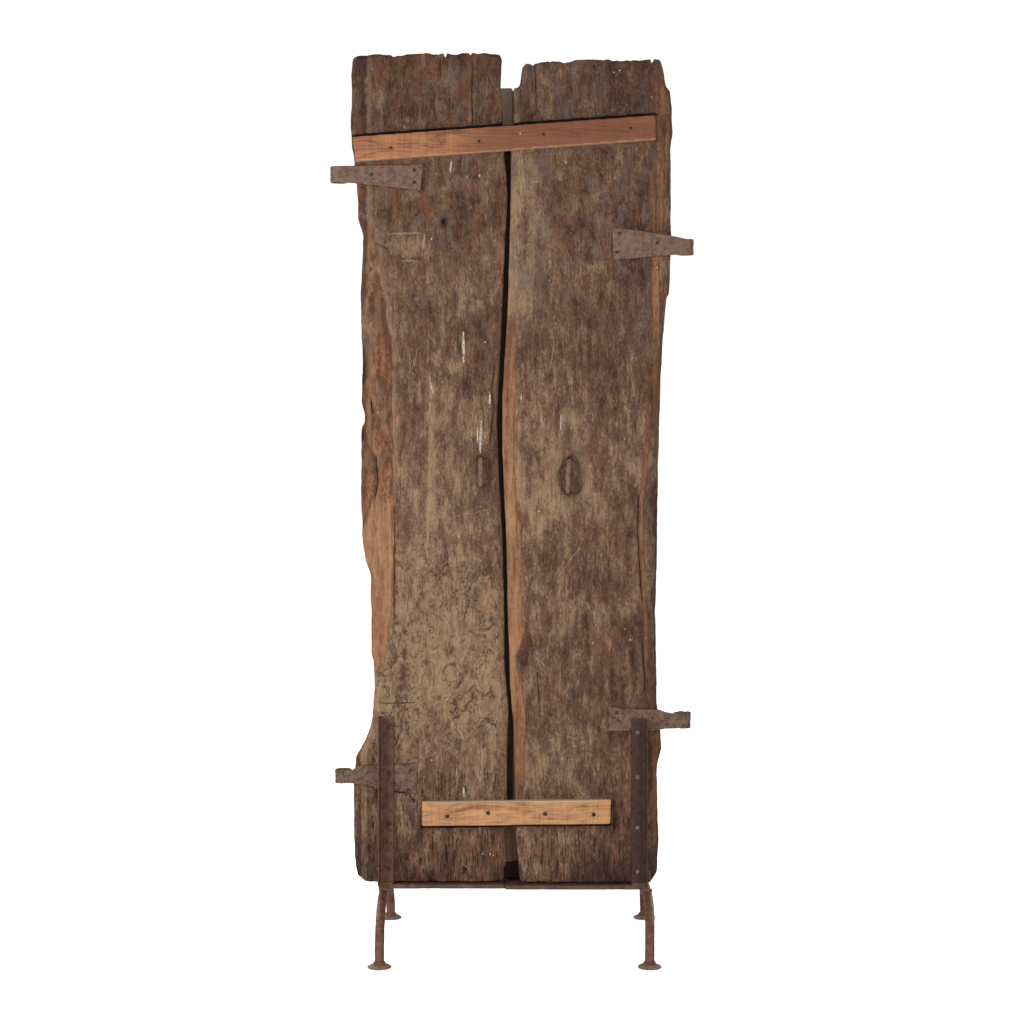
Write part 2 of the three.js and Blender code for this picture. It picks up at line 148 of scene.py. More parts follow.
# ------------------------------------------------------------------ noise for worn relief
def lattice(cell, seed):
    """One value from 0 to 1 for each whole-number cell."""
    mixed = (cell * np.array([374761393, 668265263, 1442695041])).sum(1) + seed * 974634777
    mixed &= 0xFFFFFFFF
    mixed = ((mixed ^ (mixed >> 13)) * 1274126177) & 0xFFFFFFFF
    return ((mixed ^ (mixed >> 16)) & 0xFFFF) / 65535.0


def value_noise(points, seed):
    """Smooth noise from 0 to 1 with about one bump per unit."""
    base = np.floor(points).astype(np.int64)
    part = points - base
    part = part * part * (3 - 2 * part)
    total = np.zeros(len(points))
    for corner in range(8):
        step = np.array([corner & 1, corner >> 1 & 1, corner >> 2 & 1])
        weight = np.prod(np.where(step, part, 1 - part), axis=1)
        total += weight * lattice(base + step, seed)
    return total


def layered_noise(points, size, seed, octaves=3):
    """Noise from 0 to 1 whose largest bumps measure size (x, y, z), in metres."""
    scaled = points / np.array(size)
    total, weight, reach = np.zeros(len(points)), 1.0, 0.0
    for octave in range(octaves):
        total += weight * value_noise(scaled * 2**octave + 17.3 * octave, seed + octave)
        reach += weight
        weight *= 0.5
    return total / reach


def face_noise(points, width, height, seed, octaves=3):
    """Layered noise that is the same through a plank's whole thickness."""
    return layered_noise(points, (width, 9, height), seed, octaves)


def ease(value, low, high):
    """0 below low, 1 above high and smooth between."""
    t = np.clip((value - low) / (high - low), 0, 1)
    return t * t * (3 - 2 * t)


def fade(value, low, high):
    """1 below low, 0 above high and smooth between."""
    return 1 - ease(value, low, high)


def bell(distance, width):
    """1 at no distance, falling smoothly to almost 0 at twice the width."""
    return np.exp(-((distance / width) ** 2))


def spot(points, x, z, width, height):
    """1 at (x, z) on the face, falling smoothly to almost 0 at twice the width and height."""
    return bell(points[:, 0] - x, width) * bell(points[:, 2] - z, height)


def cavity(points, depth, front, cell=0.004, reach=3):
    """How far each front point lies below (+) or above (-) the mean depth round it, -1 to 1."""
    column = ((points[:, 0] - points[:, 0].min()) / cell).astype(int)
    row = ((points[:, 2] - points[:, 2].min()) / cell).astype(int)
    index = column + row * (column.max() + 1)
    size = (row.max() + 1) * (column.max() + 1)
    count = np.bincount(index[front], minlength=size).astype(float)
    total = np.bincount(index[front], weights=depth[front], minlength=size)
    kernel = np.ones(2 * reach + 1)
    for grid in (count, total):
        flat = grid.reshape(row.max() + 1, column.max() + 1)
        for axis in (0, 1):
            flat[:] = np.apply_along_axis(np.convolve, axis, flat, kernel, mode="same")
    mean = total / np.maximum(count, 1)
    return np.where(front, np.clip((depth - mean[index]) / 0.0012, -1, 1), 0)


def near_line(points, line, width):
    """1 on a line of (x, z) points in millimetres, falling to 0 at width from it."""
    flat = points[:, [0, 2]]
    nearest = np.full(len(points), 1e9)
    for start, end in zip(line, line[1:]):
        a, b = np.array(start) * MM, np.array(end) * MM
        along = np.clip(((flat - a) @ (b - a)) / ((b - a) @ (b - a)), 0, 1)
        nearest = np.minimum(nearest, np.linalg.norm(flat - a - along[:, None] * (b - a), axis=1))
    return fade(nearest, 0, width)


def contact(points, nodes, reach, side=0):
    """1 at a CAD node and falling to 0 at reach from it; side 1 looks only above it, -1 only below."""
    total = np.zeros(len(points))
    for node in nodes:
        low, high = (np.array(corner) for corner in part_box(node))
        close = np.all((points > low - reach) & (points < high + reach), axis=1)
        tree = BVHTree.FromObject(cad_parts[node], bpy.context.evaluated_depsgraph_get())
        for index in np.flatnonzero(close):
            nearest, _, _, distance = tree.find_nearest(Vector(points[index]), reach)
            if nearest is None or side * (points[index][2] - nearest.z) < abs(side) * 0.5 * distance:
                continue
            total[index] = max(total[index], 1 - distance / reach)
    return total


def terraces(values, steps):
    """Turns smooth noise into flat ledges with short slopes between them."""
    scaled = values * steps
    whole = np.floor(scaled)
    return (whole + ease(scaled - whole, 0.55, 1.0)) / steps


# ------------------------------------------------------------------ modelling helpers
def deselect():
    if bpy.context.object and bpy.context.object.mode != "OBJECT":
        bpy.ops.object.mode_set(mode="OBJECT")
    bpy.ops.object.select_all(action="DESELECT")


def make_active(piece):
    deselect()
    piece.select_set(True)
    bpy.context.view_layer.objects.active = piece


def copy_of_node(node, name):
    """A copy of a CAD node with its loose triangles merged."""
    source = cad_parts[node]
    piece = bpy.data.objects.new(name, source.data.copy())
    piece.data.materials.clear()
    bpy.context.scene.collection.objects.link(piece)
    make_active(piece)
    bpy.ops.object.mode_set(mode="EDIT")
    bpy.ops.mesh.select_all(action="SELECT")
    bpy.ops.mesh.remove_doubles(threshold=0.00002)
    bpy.ops.object.mode_set(mode="OBJECT")
    return piece


def apply_modifier(piece, kind, **values):
    make_active(piece)
    modifier = piece.modifiers.new(kind.title(), kind)
    for key, value in values.items():
        setattr(modifier, key, value)
    bpy.ops.object.modifier_apply(modifier=modifier.name)


def even_grid(piece, size, rounding):
    """Rebuilds a piece with even faces and softens its arrises."""
    apply_modifier(piece, "REMESH", mode="VOXEL", voxel_size=size)
    if rounding:
        apply_modifier(piece, "SMOOTH", factor=0.5, iterations=rounding)


def points_of(piece, kind="co"):
    flat = np.empty(len(piece.data.vertices) * 3)
    piece.data.vertices.foreach_get(kind, flat)
    return flat.reshape(-1, 3)


def normals_of(piece):
    return points_of(piece, "normal")


def remade(node, name, size, rounding):
    """A copy of a CAD node on an even grid; returns it, its points and their normals."""
    piece = copy_of_node(node, name)
    even_grid(piece, size, rounding)
    return piece, points_of(piece), normals_of(piece)


def set_points(piece, points):
    piece.data.vertices.foreach_set("co", points.reshape(-1))
    piece.data.update()


def paint(piece, name, values):
    """Stores one value per vertex, for the material to read."""
    layer = piece.data.attributes.new(name, "FLOAT", "POINT")
    layer.data.foreach_set("value", np.clip(values, 0, 1).astype(np.float32))


def keep_inside(piece, node):
    """Holds a piece's points inside the box of the CAD node that it stands for."""
    set_points(piece, np.clip(points_of(piece), *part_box(node)))


def finish_piece(piece, nodes, material, angle=35):
    """Shades a piece and hands it to the frame in place of its CAD nodes."""
    piece.data.materials.clear()
    piece.data.materials.append(material)
    make_active(piece)
    bpy.ops.object.shade_smooth_by_angle(angle=math.radians(angle))
    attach(piece, "root")
    if nodes:
        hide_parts(*nodes)


# ------------------------------------------------------------------ shader helpers
class Graph:
    """Adds nodes to one tree and joins them; an input is a socket or a plain value."""

    def __init__(self, tree):
        self.tree = tree

    def join(self, value, socket):
        if isinstance(value, bpy.types.NodeSocket):
            self.tree.links.new(value, socket)
        else:
            socket.default_value = value

    def give(self, sockets, values):
        for name, value in values.items():
            self.join(value, sockets[name])

    def add(self, kind, inputs=None, **values):
        node = self.tree.nodes.new("ShaderNode" + kind)
        for key, value in values.items():
            setattr(node, key, value)
        self.give(node.inputs, inputs or {})
        return node

    def group(self, name, **inputs):
        node = self.tree.nodes.new("ShaderNodeGroup")
        node.node_tree = bpy.data.node_groups[name]
        self.give(node.inputs, inputs)
        return node.outputs

    def math(self, operation, a, b=0.0, clamp=False):
        return self.add("Math", {0: a, 1: b}, operation=operation, use_clamp=clamp).outputs[0]

    def chain(self, operation, first, others):
        for other in others:
            first = self.math(operation, first, other)
        return first

    def plus(self, first, *others):
        return self.chain("ADD", first, others)

    def times(self, first, *others):
        return self.chain("MULTIPLY", first, others)

    def most(self, first, *others):
        return self.chain("MAXIMUM", first, others)

    def minus(self, a, b, clamp=False):
        return self.math("SUBTRACT", a, b, clamp)

    def total(self, *parts):
        """The sum of (weight, value) parts."""
        return self.plus(*(self.times(value, weight) for weight, value in parts))

    def vector(self, operation, a, b, output="Vector"):
        return self.add("VectorMath", {0: a, 1: b}, operation=operation).outputs[output]

    def scaled(self, vector, size):
        return self.add("VectorMath", {0: vector, "Scale": size}, operation="SCALE").outputs[0]

    def stretch(self, vector, scale, place=(0, 0, 0)):
        inputs = {"Vector": vector, "Scale": scale, "Location": place}
        return self.add("Mapping", inputs).outputs[0]

    def turn(self, vector, degrees):
        """A vector turned about the depth axis."""
        inputs = {"Vector": vector, "Rotation": (0, math.radians(degrees), 0)}
        return self.add("Mapping", inputs).outputs[0]

    def noise(self, vector, scale, detail=4.0, roughness=0.55, distortion=0.0):
        inputs = {
            "Vector": vector, "Scale": scale, "Detail": detail, "Roughness": roughness,
            "Distortion": distortion,
        }
        return self.add("TexNoise", inputs).outputs["Fac"]

    def patches(self, vector, scale, place=(0, 0, 0), detail=4.0, roughness=0.55, distortion=0.0):
        """Noise stretched differently along each axis, in bumps per metre."""
        return self.noise(self.stretch(vector, scale, place), 1.0, detail, roughness, distortion)

    def step(self, value, low, high):
        """0 below low, 1 above high and smooth between."""
        inputs = {"Value": value, "From Min": low, "From Max": high}
        return self.add("MapRange", inputs, interpolation_type="SMOOTHSTEP").outputs[0]

    def mix(self, factor, a, b):
        colours = {0: factor, 6: rgba(a), 7: rgba(b)}
        return self.add("Mix", colours, data_type="RGBA").outputs[2]

    def coats(self, surface, *coats):
        """A surface with colours laid over it; each coat is (mask, strength, colour)."""
        for mask, strength, colour in coats:
            surface = self.mix(self.times(mask, strength), surface, colour)
        return surface

    def attribute(self, name):
        return self.add("Attribute", attribute_name=name).outputs["Fac"]


def rgba(value):
    return value if isinstance(value, bpy.types.NodeSocket) else (*value, 1.0)


def new_group(name, vectors, floats, outputs):
    """An empty node group with inputs of two kinds and float outputs, each given by name."""
    tree = bpy.data.node_groups.new(name, "ShaderNodeTree")
    sockets = (vectors, "INPUT", "Vector"), (floats, "INPUT", "Float"), (outputs, "OUTPUT", "Float")
    for labels, way, kind in sockets:
        for label in labels:
            tree.interface.new_socket(label, in_out=way, socket_type="NodeSocket" + kind)
    graph = Graph(tree)
    return graph, tree.nodes.new("NodeGroupInput").outputs, tree.nodes.new("NodeGroupOutput").inputs


def fibre_group():
    """Streaks along Z: fine fibres, broader bands and their relief."""
    graph, given, out = new_group("Wood fibre", ["Vector"], ["Seed"], ["Fibre", "Bands", "Height"])
    moved = graph.vector("ADD", given["Vector"], given["Seed"])
    sway = graph.times(graph.patches(moved, (9, 9, 5), detail=2.0), 0.03)
    curved = graph.vector("ADD", moved, graph.add("CombineXYZ", {"X": sway}).outputs[0])
    fine = graph.patches(curved, (520, 520, 22), detail=3.0, roughness=0.6)
    broad = graph.patches(curved, (90, 90, 5), roughness=0.6)
    graph.give(out, {"Fibre": fine, "Bands": broad, "Height": graph.total((0.6, fine), (0.7, broad))})


def flake_group():
    """Broken dark lines along the ledges of flaked old surface, painted as the ledges' shadow, and the
    ledges' relief.
    """
    graph, given, out = new_group("Flake lines", ["Vector"], ["Scale", "Ragged"], ["Lines", "Relief"])
    slow = graph.noise(given["Vector"], given["Scale"], 3.0, 0.5, 0.8)
    ramp = graph.math("FRACT", graph.times(slow, 5.0))
    beside = graph.math("MINIMUM", ramp, graph.minus(1.0, ramp))
    width = graph.times(graph.step(given["Ragged"], 0.42, 0.6), 0.4)
    lines = graph.minus(1.0, graph.step(graph.minus(beside, width), -0.04, 0.02), True)
    graph.give(out, {"Lines": lines, "Relief": ramp})


def speck_group():
    """Small round specks, as drops of paint or pits of rust. Amount is their share of cells."""
    graph, given, out = new_group("Specks", ["Vector"], ["Scale", "Size", "Amount"], ["Mask"])
    cells = graph.add("TexVoronoi", {"Vector": given["Vector"], "Scale": given["Scale"]}).outputs
    chance = graph.add("SeparateColor", {0: cells["Color"]}).outputs[0]
    chosen = graph.math("LESS_THAN", chance, given["Amount"])
    near = graph.math("DIVIDE", cells["Distance"], given["Size"])
    dot = graph.minus(1.0, graph.step(near, 0.6, 1.0), True)
    graph.give(out, {"Mask": graph.times(dot, chosen)})


def line_group():
    """A mark along a straight line on the face, from A to B in x and z, thinner at its ends."""
    graph, given, out = new_group("Line mark", ["Vector", "A", "B"], ["Width"], ["Mask"])
    flat = graph.vector("MULTIPLY", given["Vector"], (1, 0, 1))
    run = graph.vector("SUBTRACT", given["B"], given["A"])
    from_a = graph.vector("SUBTRACT", flat, given["A"])
    along = graph.vector("DOT_PRODUCT", from_a, run, "Value")
    share = graph.math("DIVIDE", along, graph.vector("DOT_PRODUCT", run, run, "Value"), True)
    distance = graph.vector("DISTANCE", from_a, graph.scaled(run, share), "Value")
    taper = graph.minus(1.0, graph.math("ABSOLUTE", graph.minus(share, 0.5)))
    near = graph.math("DIVIDE", distance, graph.times(given["Width"], taper))
    graph.give(out, {"Mask": graph.minus(1.0, graph.step(near, 0.5, 1.0), True)})


def rust_group():
    """Old rust: how far it has darkened and reddened the skin, and its pitted relief."""
    graph, given, out = new_group("Rust skin", ["Vector"], ["Scale"], ["Dark", "Rust", "Light", "Height"])
    scaled = graph.scaled(given["Vector"], given["Scale"])
    broad = graph.noise(scaled, 22.0, 5.0, 0.65, 0.4)
    middle = graph.noise(graph.stretch(scaled, (1, 1, 1), (3, 1, 7)), 110.0, 5.0, 0.7, 0.3)
    fine = graph.noise(scaled, 420.0, 3.0, 0.65)
    graph.give(out, {
        "Dark": graph.step(graph.plus(middle, fine), 0.96, 1.18),
        "Rust": graph.step(broad, 0.5, 0.66),
        "Light": graph.step(graph.minus(fine, middle), 0.04, 0.2),
        "Height": graph.total((0.75, middle), (0.35, fine)),
    })


def build_groups():
    for build in (fibre_group, flake_group, speck_group, line_group, rust_group):
        build()


def new_material(name):
    """An empty material; returns it, its graph, its shader's inputs and the object's coordinates."""
    material = bpy.data.materials.new(name)
    material.use_nodes = True
    graph = Graph(material.node_tree)
    shader = material.node_tree.nodes["Principled BSDF"].inputs
    return material, graph, shader, graph.add("TexCoord").outputs["Object"]


def join_shader(graph, shader, colour, roughness, specular, height, relief):
    """Joins a finished surface to its shader, with a bump that is relief deep."""
    bump = graph.add("Bump", {"Height": height, "Distance": relief, "Strength": 1.0}).outputs["Normal"]
    graph.give(shader, {
        "Base Color": rgba(colour), "Roughness": roughness, "Specular IOR Level": specular, "Normal": bump,
    })


def brighter(colour, factor):
    return tuple(min(1.0, part * factor) for part in colour)


def wobble(graph, vector, scale):
    """A push in every direction, about -0.5 to 0.5, that makes drawn lines ragged."""
    shift = graph.add("TexNoise", {"Vector": vector, "Scale": scale, "Detail": 3.0}).outputs["Color"]
    return graph.vector("SUBTRACT", shift, (0.5, 0.5, 0.5))


def pushed(graph, vector, push, size):
    """A vector moved by a wobble, in metres."""
    return graph.vector("ADD", vector, graph.scaled(push, size))


def line_marks(graph, vector, marks):
    """The joined mask of several line marks: each is (line points, width) in millimetres."""
    masks = []
    for line, width in marks:
        for (ax, az), (bx, bz) in zip(line, line[1:]):
            ends = {"A": (ax * MM, 0, az * MM), "B": (bx * MM, 0, bz * MM)}
            masks.append(graph.group("Line mark", Vector=vector, Width=width * MM, **ends)["Mask"])
    return graph.most(*masks)


def colour_ramp(graph, value, stops):
    """Colours laid along a value from 0 to 1; each stop is (place, colour)."""
    node = graph.add("ValToRGB", {0: value})
    points = node.color_ramp.elements
    while len(points) < len(stops):
        points.new(0.5)
    for point, (place, colour) in zip(points, stops):
        point.position = place
        point.color = (*colour, 1.0)
    return node.outputs["Color"]


# ------------------------------------------------------------------ the planks' marks, (x, z) in millimetres
LEFT_SPLIT = [(-46, 1031), (-38, 1106), (-43, 1143), (-35, 1200)]
LEFT_CRACKS = [
    ([(-271, 498), (-238, 497), (-203, 499)], 1.3),
    ([(-221, 497), (-221, 482)], 1.0),
    ([(-225, 446), (-232, 436), (-244, 403)], 1.4),
    ([(-240, 315), (-213, 312), (-204, 295)], 1.8),
    ([(-279, 321), (-282, 304)], 1.6),
    ([(-82, 1822), (-83, 1740), (-81, 1690)], 1.2),
    ([(-149, 1828), (-148, 1792)], 1.6),
    (LEFT_SPLIT, 1.6),
    ([(-281, 1006), (-278, 955), (-284, 918)], 2.4),
    ([(-293, 1130), (-288, 1098)], 2.2),
    ([(-243, 905), (-244, 640)], 1.2),
    ([(-138, 205), (-132, 160)], 1.6),
    ([(-118, 195), (-121, 145)], 1.4),
]
RIGHT_CRACKS = [
    ([(269, 628), (275, 525)], 1.8),
    ([(262, 925), (259, 852), (268, 711)], 1.6),
    ([(52, 560), (58, 470)], 1.2),
    ([(96, 185), (92, 135)], 1.4),
    ([(48, 1815), (50, 1730)], 1.4),
]
LEFT_DRIPS = [
    ([(-101, 1264), (-100, 1203)], 3.8),
    ([(-64, 1082), (-66, 1011)], 3.4),
    ([(-72, 1068), (-71, 1036)], 2.0),
    ([(-46, 1140), (-46, 1110)], 3.6),
    ([(-170, 1172), (-165, 1140)], 2.2),
    ([(-125, 1618), (-127, 1596)], 3.0),
    ([(-100, 324), (-99, 304)], 2.6),
    ([(-93, 1588), (-92, 1583)], 3.0),
    ([(-67, 1590), (-66, 1586)], 3.0),
]
RIGHT_DRIPS = [([(101, 1091), (101, 1062)], 1.8), ([(19, 1137), (19, 1120)], 1.6)]
LEFT_SCRATCHES = [
    ([(-170, 1186), (-168, 1020), (-176, 801)], 2.6),
    ([(-131, 881), (-47, 897)], 1.0),
    ([(-213, 1220), (-208, 1180), (-196, 1228)], 1.4),
    ([(-256, 1467), (-190, 1470)], 2.6),
    ([(-181, 1466), (-183, 1436)], 3.6),
    ([(-232, 1413), (-196, 1411)], 2.4),
]
RIGHT_SCRATCHES = [([(96, 760), (140, 820)], 1.4), ([(88, 1250), (78, 1180)], 1.4)]


# ------------------------------------------------------------------ materials
# dark of the lines along the flaked ledges: painted shadow, with some dirt
LEDGE_SHADOW_AND_DIRT = srgb(92, 59, 49)
CHECK_DARK = srgb(40, 27, 21)
# dark of real stains, and of painted shade on the bevels and in the deep pockets
STAIN_AND_SHADE_DARK = srgb(44, 32, 27)
# dark of the painted contact shadows at the ironwork and the battens, and of the old nail stubs
SHADOW_AND_NAIL_DARK = srgb(22, 14, 10)
CRACK_DARK = srgb(24, 15, 11)
PAINT_WHITE = srgb(214, 205, 194)
RED_DEEP = srgb(112, 66, 46)
# pale of the upper batten's bottom face: wear and painted highlight
RED_WORN_HIGHLIGHT = srgb(186, 142, 108)
PALE_DEEP = srgb(128, 84, 52)
# pale of the lower batten's top face: wear and painted highlight
PALE_WORN_HIGHLIGHT = srgb(190, 176, 158)
BATTEN_DIRT = srgb(70, 48, 38)
# painted light on the strip's top, above the planks
STRIP_LIGHT = srgb(186, 172, 160)
# painted shade on the strip where it lies in the slot behind the planks
STRIP_SHADE = srgb(30, 21, 17)


def plank_material(name, seed, cracks, drips, scratches):
    """Old hewn surface, rubbed to pale wood in dashes, and bare orange wood where it has broken away."""
    look = settings("door_wood")
    material, graph, shader, place = new_material(name)
    pale, red, flakes, ledge, blotchy, shown, rough, stain = (
        graph.attribute(label)
        for label in ("pale", "red", "flakes", "ledge", "blotchy", "bare", "rough", "stain")
    )
    push = wobble(graph, place, 70.0)
    bent = pushed(graph, place, push, 0.009)
    fine_bent = pushed(graph, place, push, 0.003)
    fibre = graph.group("Wood fibre", Vector=place, Seed=seed)
    streaks = graph.patches(bent, (82, 82, 27), (seed, 0, 0), 5.0, 0.64, 0.3)
    mottle = graph.patches(bent, (46, 46, 34), (seed, 5, 0), 5.0, 0.64, 0.5)
    dashes = graph.plus(graph.times(streaks, graph.minus(1.0, blotchy)), graph.times(mottle, blotchy))
    broad = graph.patches(bent, (21, 21, 11), (0, seed, 0), 4.0, 0.6, 0.5)
    grain = graph.noise(graph.stretch(place, (1, 1, 0.6)), 250.0, 3.0, 0.7)
    hue = graph.patches(bent, (25, 25, 13), (seed, 3, 0), 4.0, 0.6, 1.2)
    rusty = graph.patches(bent, (34, 34, 17), (0, 0, seed + 3), 4.0, 0.65, 0.6)
    checks = graph.patches(fine_bent, (420, 420, 26), (0, 0, seed), 2.0, 0.5)

    tone = graph.total(
        (0.5, dashes), (0.5, broad), (0.3, graph.minus(pale, 0.5)), (0.36, graph.minus(grain, 0.5)))
    surface = colour_ramp(graph, tone, [
        (0.36, look.dark), (0.43, look.purple), (0.5, look.brown), (0.535, look.grey), (0.57, look.tan),
        (0.68, look.light_tan),
    ])
    flaked = graph.group(
        "Flake lines", Vector=graph.stretch(bent, (1, 1, 0.85)), Scale=26.0, Ragged=dashes)
    crumbled = graph.step(graph.total((1.0, streaks), (0.9, grain)), 1.08, 0.9)
    # dark lines along the flaked ledges: painted shadow under the flakes, with dirt in the streaks
    veined = graph.times(flaked["Lines"], flakes, crumbled, graph.step(hue, 0.43, 0.54))
    shadow_and_dirt = graph.step(graph.total((1.0, streaks), (0.62, ledge), (0.7, grain)), 1.08, 1.24)
    surface = graph.coats(
        surface,
        (graph.times(graph.step(hue, 0.49, 0.4), blotchy), 0.6, look.olive),
        (graph.times(graph.step(hue, 0.54, 0.63), blotchy), 0.7, look.ochre),
        (graph.step(rusty, 0.53, 0.62), red, look.red),
        (graph.most(veined, shadow_and_dirt), 0.88, LEDGE_SHADOW_AND_DIRT),
    )

    bare_tone = graph.total(
        (0.45, fibre["Bands"]), (0.3, dashes), (0.25, grain), (0.3, graph.minus(shown, 0.9)))
    bare = colour_ramp(graph, bare_tone, [
        (0.34, look.brown), (0.42, look.rust_wood), (0.5, look.bare), (0.62, look.light_bare),
    ])
    mixed = graph.plus(dashes, grain)
    surface = graph.mix(graph.step(graph.total((1.0, shown), (0.4, mixed)), 0.72, 0.92), surface, bare)

    unworn = graph.minus(0.75, graph.times(pale, 0.6))
    shaded = graph.minus(0.6, graph.times(graph.plus(flakes, rough), 0.3))
    # dark fibre lines, and painted shade in the hollows of the worn face
    grain_and_hollow_shade = graph.most(
        graph.times(graph.step(fibre["Fibre"], 0.53, 0.33), unworn),
        graph.times(graph.attribute("hollow_shade"), shaded),
    )
    ridge_highlight_share = graph.plus(0.3, graph.times(flakes, 0.45))
    # light fibre lines, and painted highlight on the ridges of the worn face
    grain_and_ridge_highlight = graph.most(
        graph.times(graph.step(fibre["Fibre"], 0.58, 0.74), 0.3),
        graph.times(graph.attribute("ridge"), ridge_highlight_share),
    )
    checked = graph.times(graph.step(checks, 0.57, 0.66), graph.attribute("checks"))
    nicks = graph.patches(graph.turn(place, 38), (520, 520, 38), (seed, 0, 9), 1.0, 0.5)
    nicked = graph.times(graph.step(nicks, 0.63, 0.7), graph.step(hue, 0.46, 0.56))
    front = graph.math("LESS_THAN", graph.add("SeparateXYZ", {0: place}).outputs["Y"], 0.0)
    dots = graph.group("Specks", Vector=place, Scale=90.0, Size=0.2, Amount=0.02)["Mask"]
    drops = graph.most(graph.times(line_marks(graph, fine_bent, drips), front), dots)
    splash = graph.group(
        "Specks", Vector=fine_bent, Scale=210.0, Size=0.34, Amount=graph.attribute("splash"))["Mask"]
    surface = graph.coats(
        surface,
        (graph.times(graph.step(mixed, 1.0, 0.86), rough), 0.4, look.dark),
        (grain_and_hollow_shade, 1.0, look.dark),
        (checked, 1.0, CHECK_DARK),
        (grain_and_ridge_highlight, 1.0, look.light_tan),
        # real stains, with painted shade on the bevels and in the deepest pockets
        (graph.times(stain, graph.step(dashes, 0.3, 0.55)), 0.9, STAIN_AND_SHADE_DARK),
        (nicked, 0.45, look.light_tan),
        (graph.times(line_marks(graph, bent, scratches), graph.step(dashes, 0.32, 0.48), front), 0.75,
         look.light_tan),
        # painted contact shadow round the straps, above the upper batten and below the lower one, and the
        # dark nail stubs
        (graph.step(graph.attribute("contact_shadow_and_nail"), 0.3, 0.7), 0.95, SHADOW_AND_NAIL_DARK),
        (graph.times(line_marks(graph, fine_bent, cracks), front), 0.93, CRACK_DARK),
        (graph.most(graph.times(drops, graph.step(grain, 0.38, 0.5)), splash), 0.8, PAINT_WHITE),
    )
    height = graph.total(
        (1.0, fibre["Height"]), (1.8, dashes), (1.2, grain), (2.2, graph.times(flaked["Relief"], flakes)),
        (-1.2, checked), (-0.5, nicked), (2.0, graph.times(dashes, rough)),
    )
    roughness = graph.plus(0.6, graph.times(dashes, 0.35))
    join_shader(graph, shader, surface, roughness, 0.15, height, 0.0036)
    return material


def planed_wood(name, seed, light, deep, edge, marks, red_end):
    """Sawn and planed batten wood with its grain along x, redder to the right, with dark stains."""
    material, graph, shader, place = new_material(name)
    fibre = graph.group("Wood fibre", Vector=graph.turn(place, 90), Seed=seed)
    cloud = graph.patches(place, (11, 34, 34), (seed, 0, 0), 5.0, 0.65, 0.5)
    saw = graph.patches(place, (240, 8, 8), detail=2.0)
    slow = graph.patches(place, (3.2, 26, 26), (seed, 2, 0), 2.0, 0.4)
    rings = graph.step(graph.math("FRACT", graph.times(slow, 11.0)), 0.74, 0.97)
    tone = graph.total(
        (0.4, cloud), (0.15, fibre["Bands"]), (0.3, fibre["Fibre"]), (0.15, saw), (-0.05, rings))
    wood = colour_ramp(graph, tone, [(0.4, deep), (0.49, light), (0.58, brighter(light, 1.35))])
    across = graph.add("SeparateXYZ", {0: place}).outputs["X"]
    stained = line_marks(graph, pushed(graph, place, wobble(graph, place, 90.0), 0.02), marks)
    stained = graph.times(stained, graph.step(graph.noise(place, 160.0, 4.0, 0.7), 0.36, 0.62))
    lines = graph.times(graph.step(fibre["Fibre"], 0.56, 0.68), 0.22)
    drops = graph.group("Specks", Vector=place, Scale=60.0, Size=0.11, Amount=0.05)["Mask"]
    wood = graph.coats(
        wood,
        (graph.step(graph.total((1.0, across), (0.3, cloud)), 0.02, 0.14), red_end, deep),
        (graph.most(stained, graph.attribute("worn"), lines), 0.62, BATTEN_DIRT),
        # one long face painted pale: partly wear, partly painted highlight
        (graph.attribute("wear_and_highlight"), 0.75, edge),
        (drops, 1.0, PAINT_WHITE),
    )
    height = graph.total((1.0, fibre["Height"]), (-0.5, rings))
    join_shader(graph, shader, wood, 0.6, 0.3, height, 0.0009)
    return material


def strip_material():
    """Grey-brown weathered wood of the meeting strip, with painted light on its top where it shows and
    painted shade where it lies hidden in the slot.
    """
    look = settings("door_wood")
    material, graph, shader, place = new_material("meeting_strip_wood")
    fibre = graph.group("Wood fibre", Vector=place, Seed=31.0)
    cloud = graph.patches(place, (40, 40, 9), roughness=0.6)
    tone = graph.total((0.5, fibre["Bands"]), (0.3, cloud), (0.2, fibre["Fibre"]))
    wood = colour_ramp(graph, tone, [(0.36, look.brown), (0.5, look.tan), (0.66, look.light_tan)])
    wood = graph.coats(
        wood, (graph.attribute("lit"), 0.5, STRIP_LIGHT), (graph.attribute("slot_shade"), 1.0, STRIP_SHADE))
    join_shader(graph, shader, wood, 0.8, 0.25, fibre["Height"], 0.0014)
    return material


def iron_material(name, base, dark, rust, scale, depth, roughness):
    """Iron with a skin of old rust: dark scale, red-brown blooms, pale dusty grains and pits."""
    material, graph, shader, place = new_material(name)
    skin = graph.group("Rust skin", Vector=place, Scale=scale)
    colour = graph.coats(
        base, (skin["Rust"], 0.5, rust), (skin["Dark"], 0.7, dark),
        (skin["Light"], 0.45, brighter(base, 1.7)),
    )
    shader["Metallic"].default_value = 0.1
    skin_roughness = graph.plus(roughness, graph.times(skin["Dark"], 0.2))
    join_shader(graph, shader, colour, skin_roughness, 0.25, skin["Height"], depth)
    return material


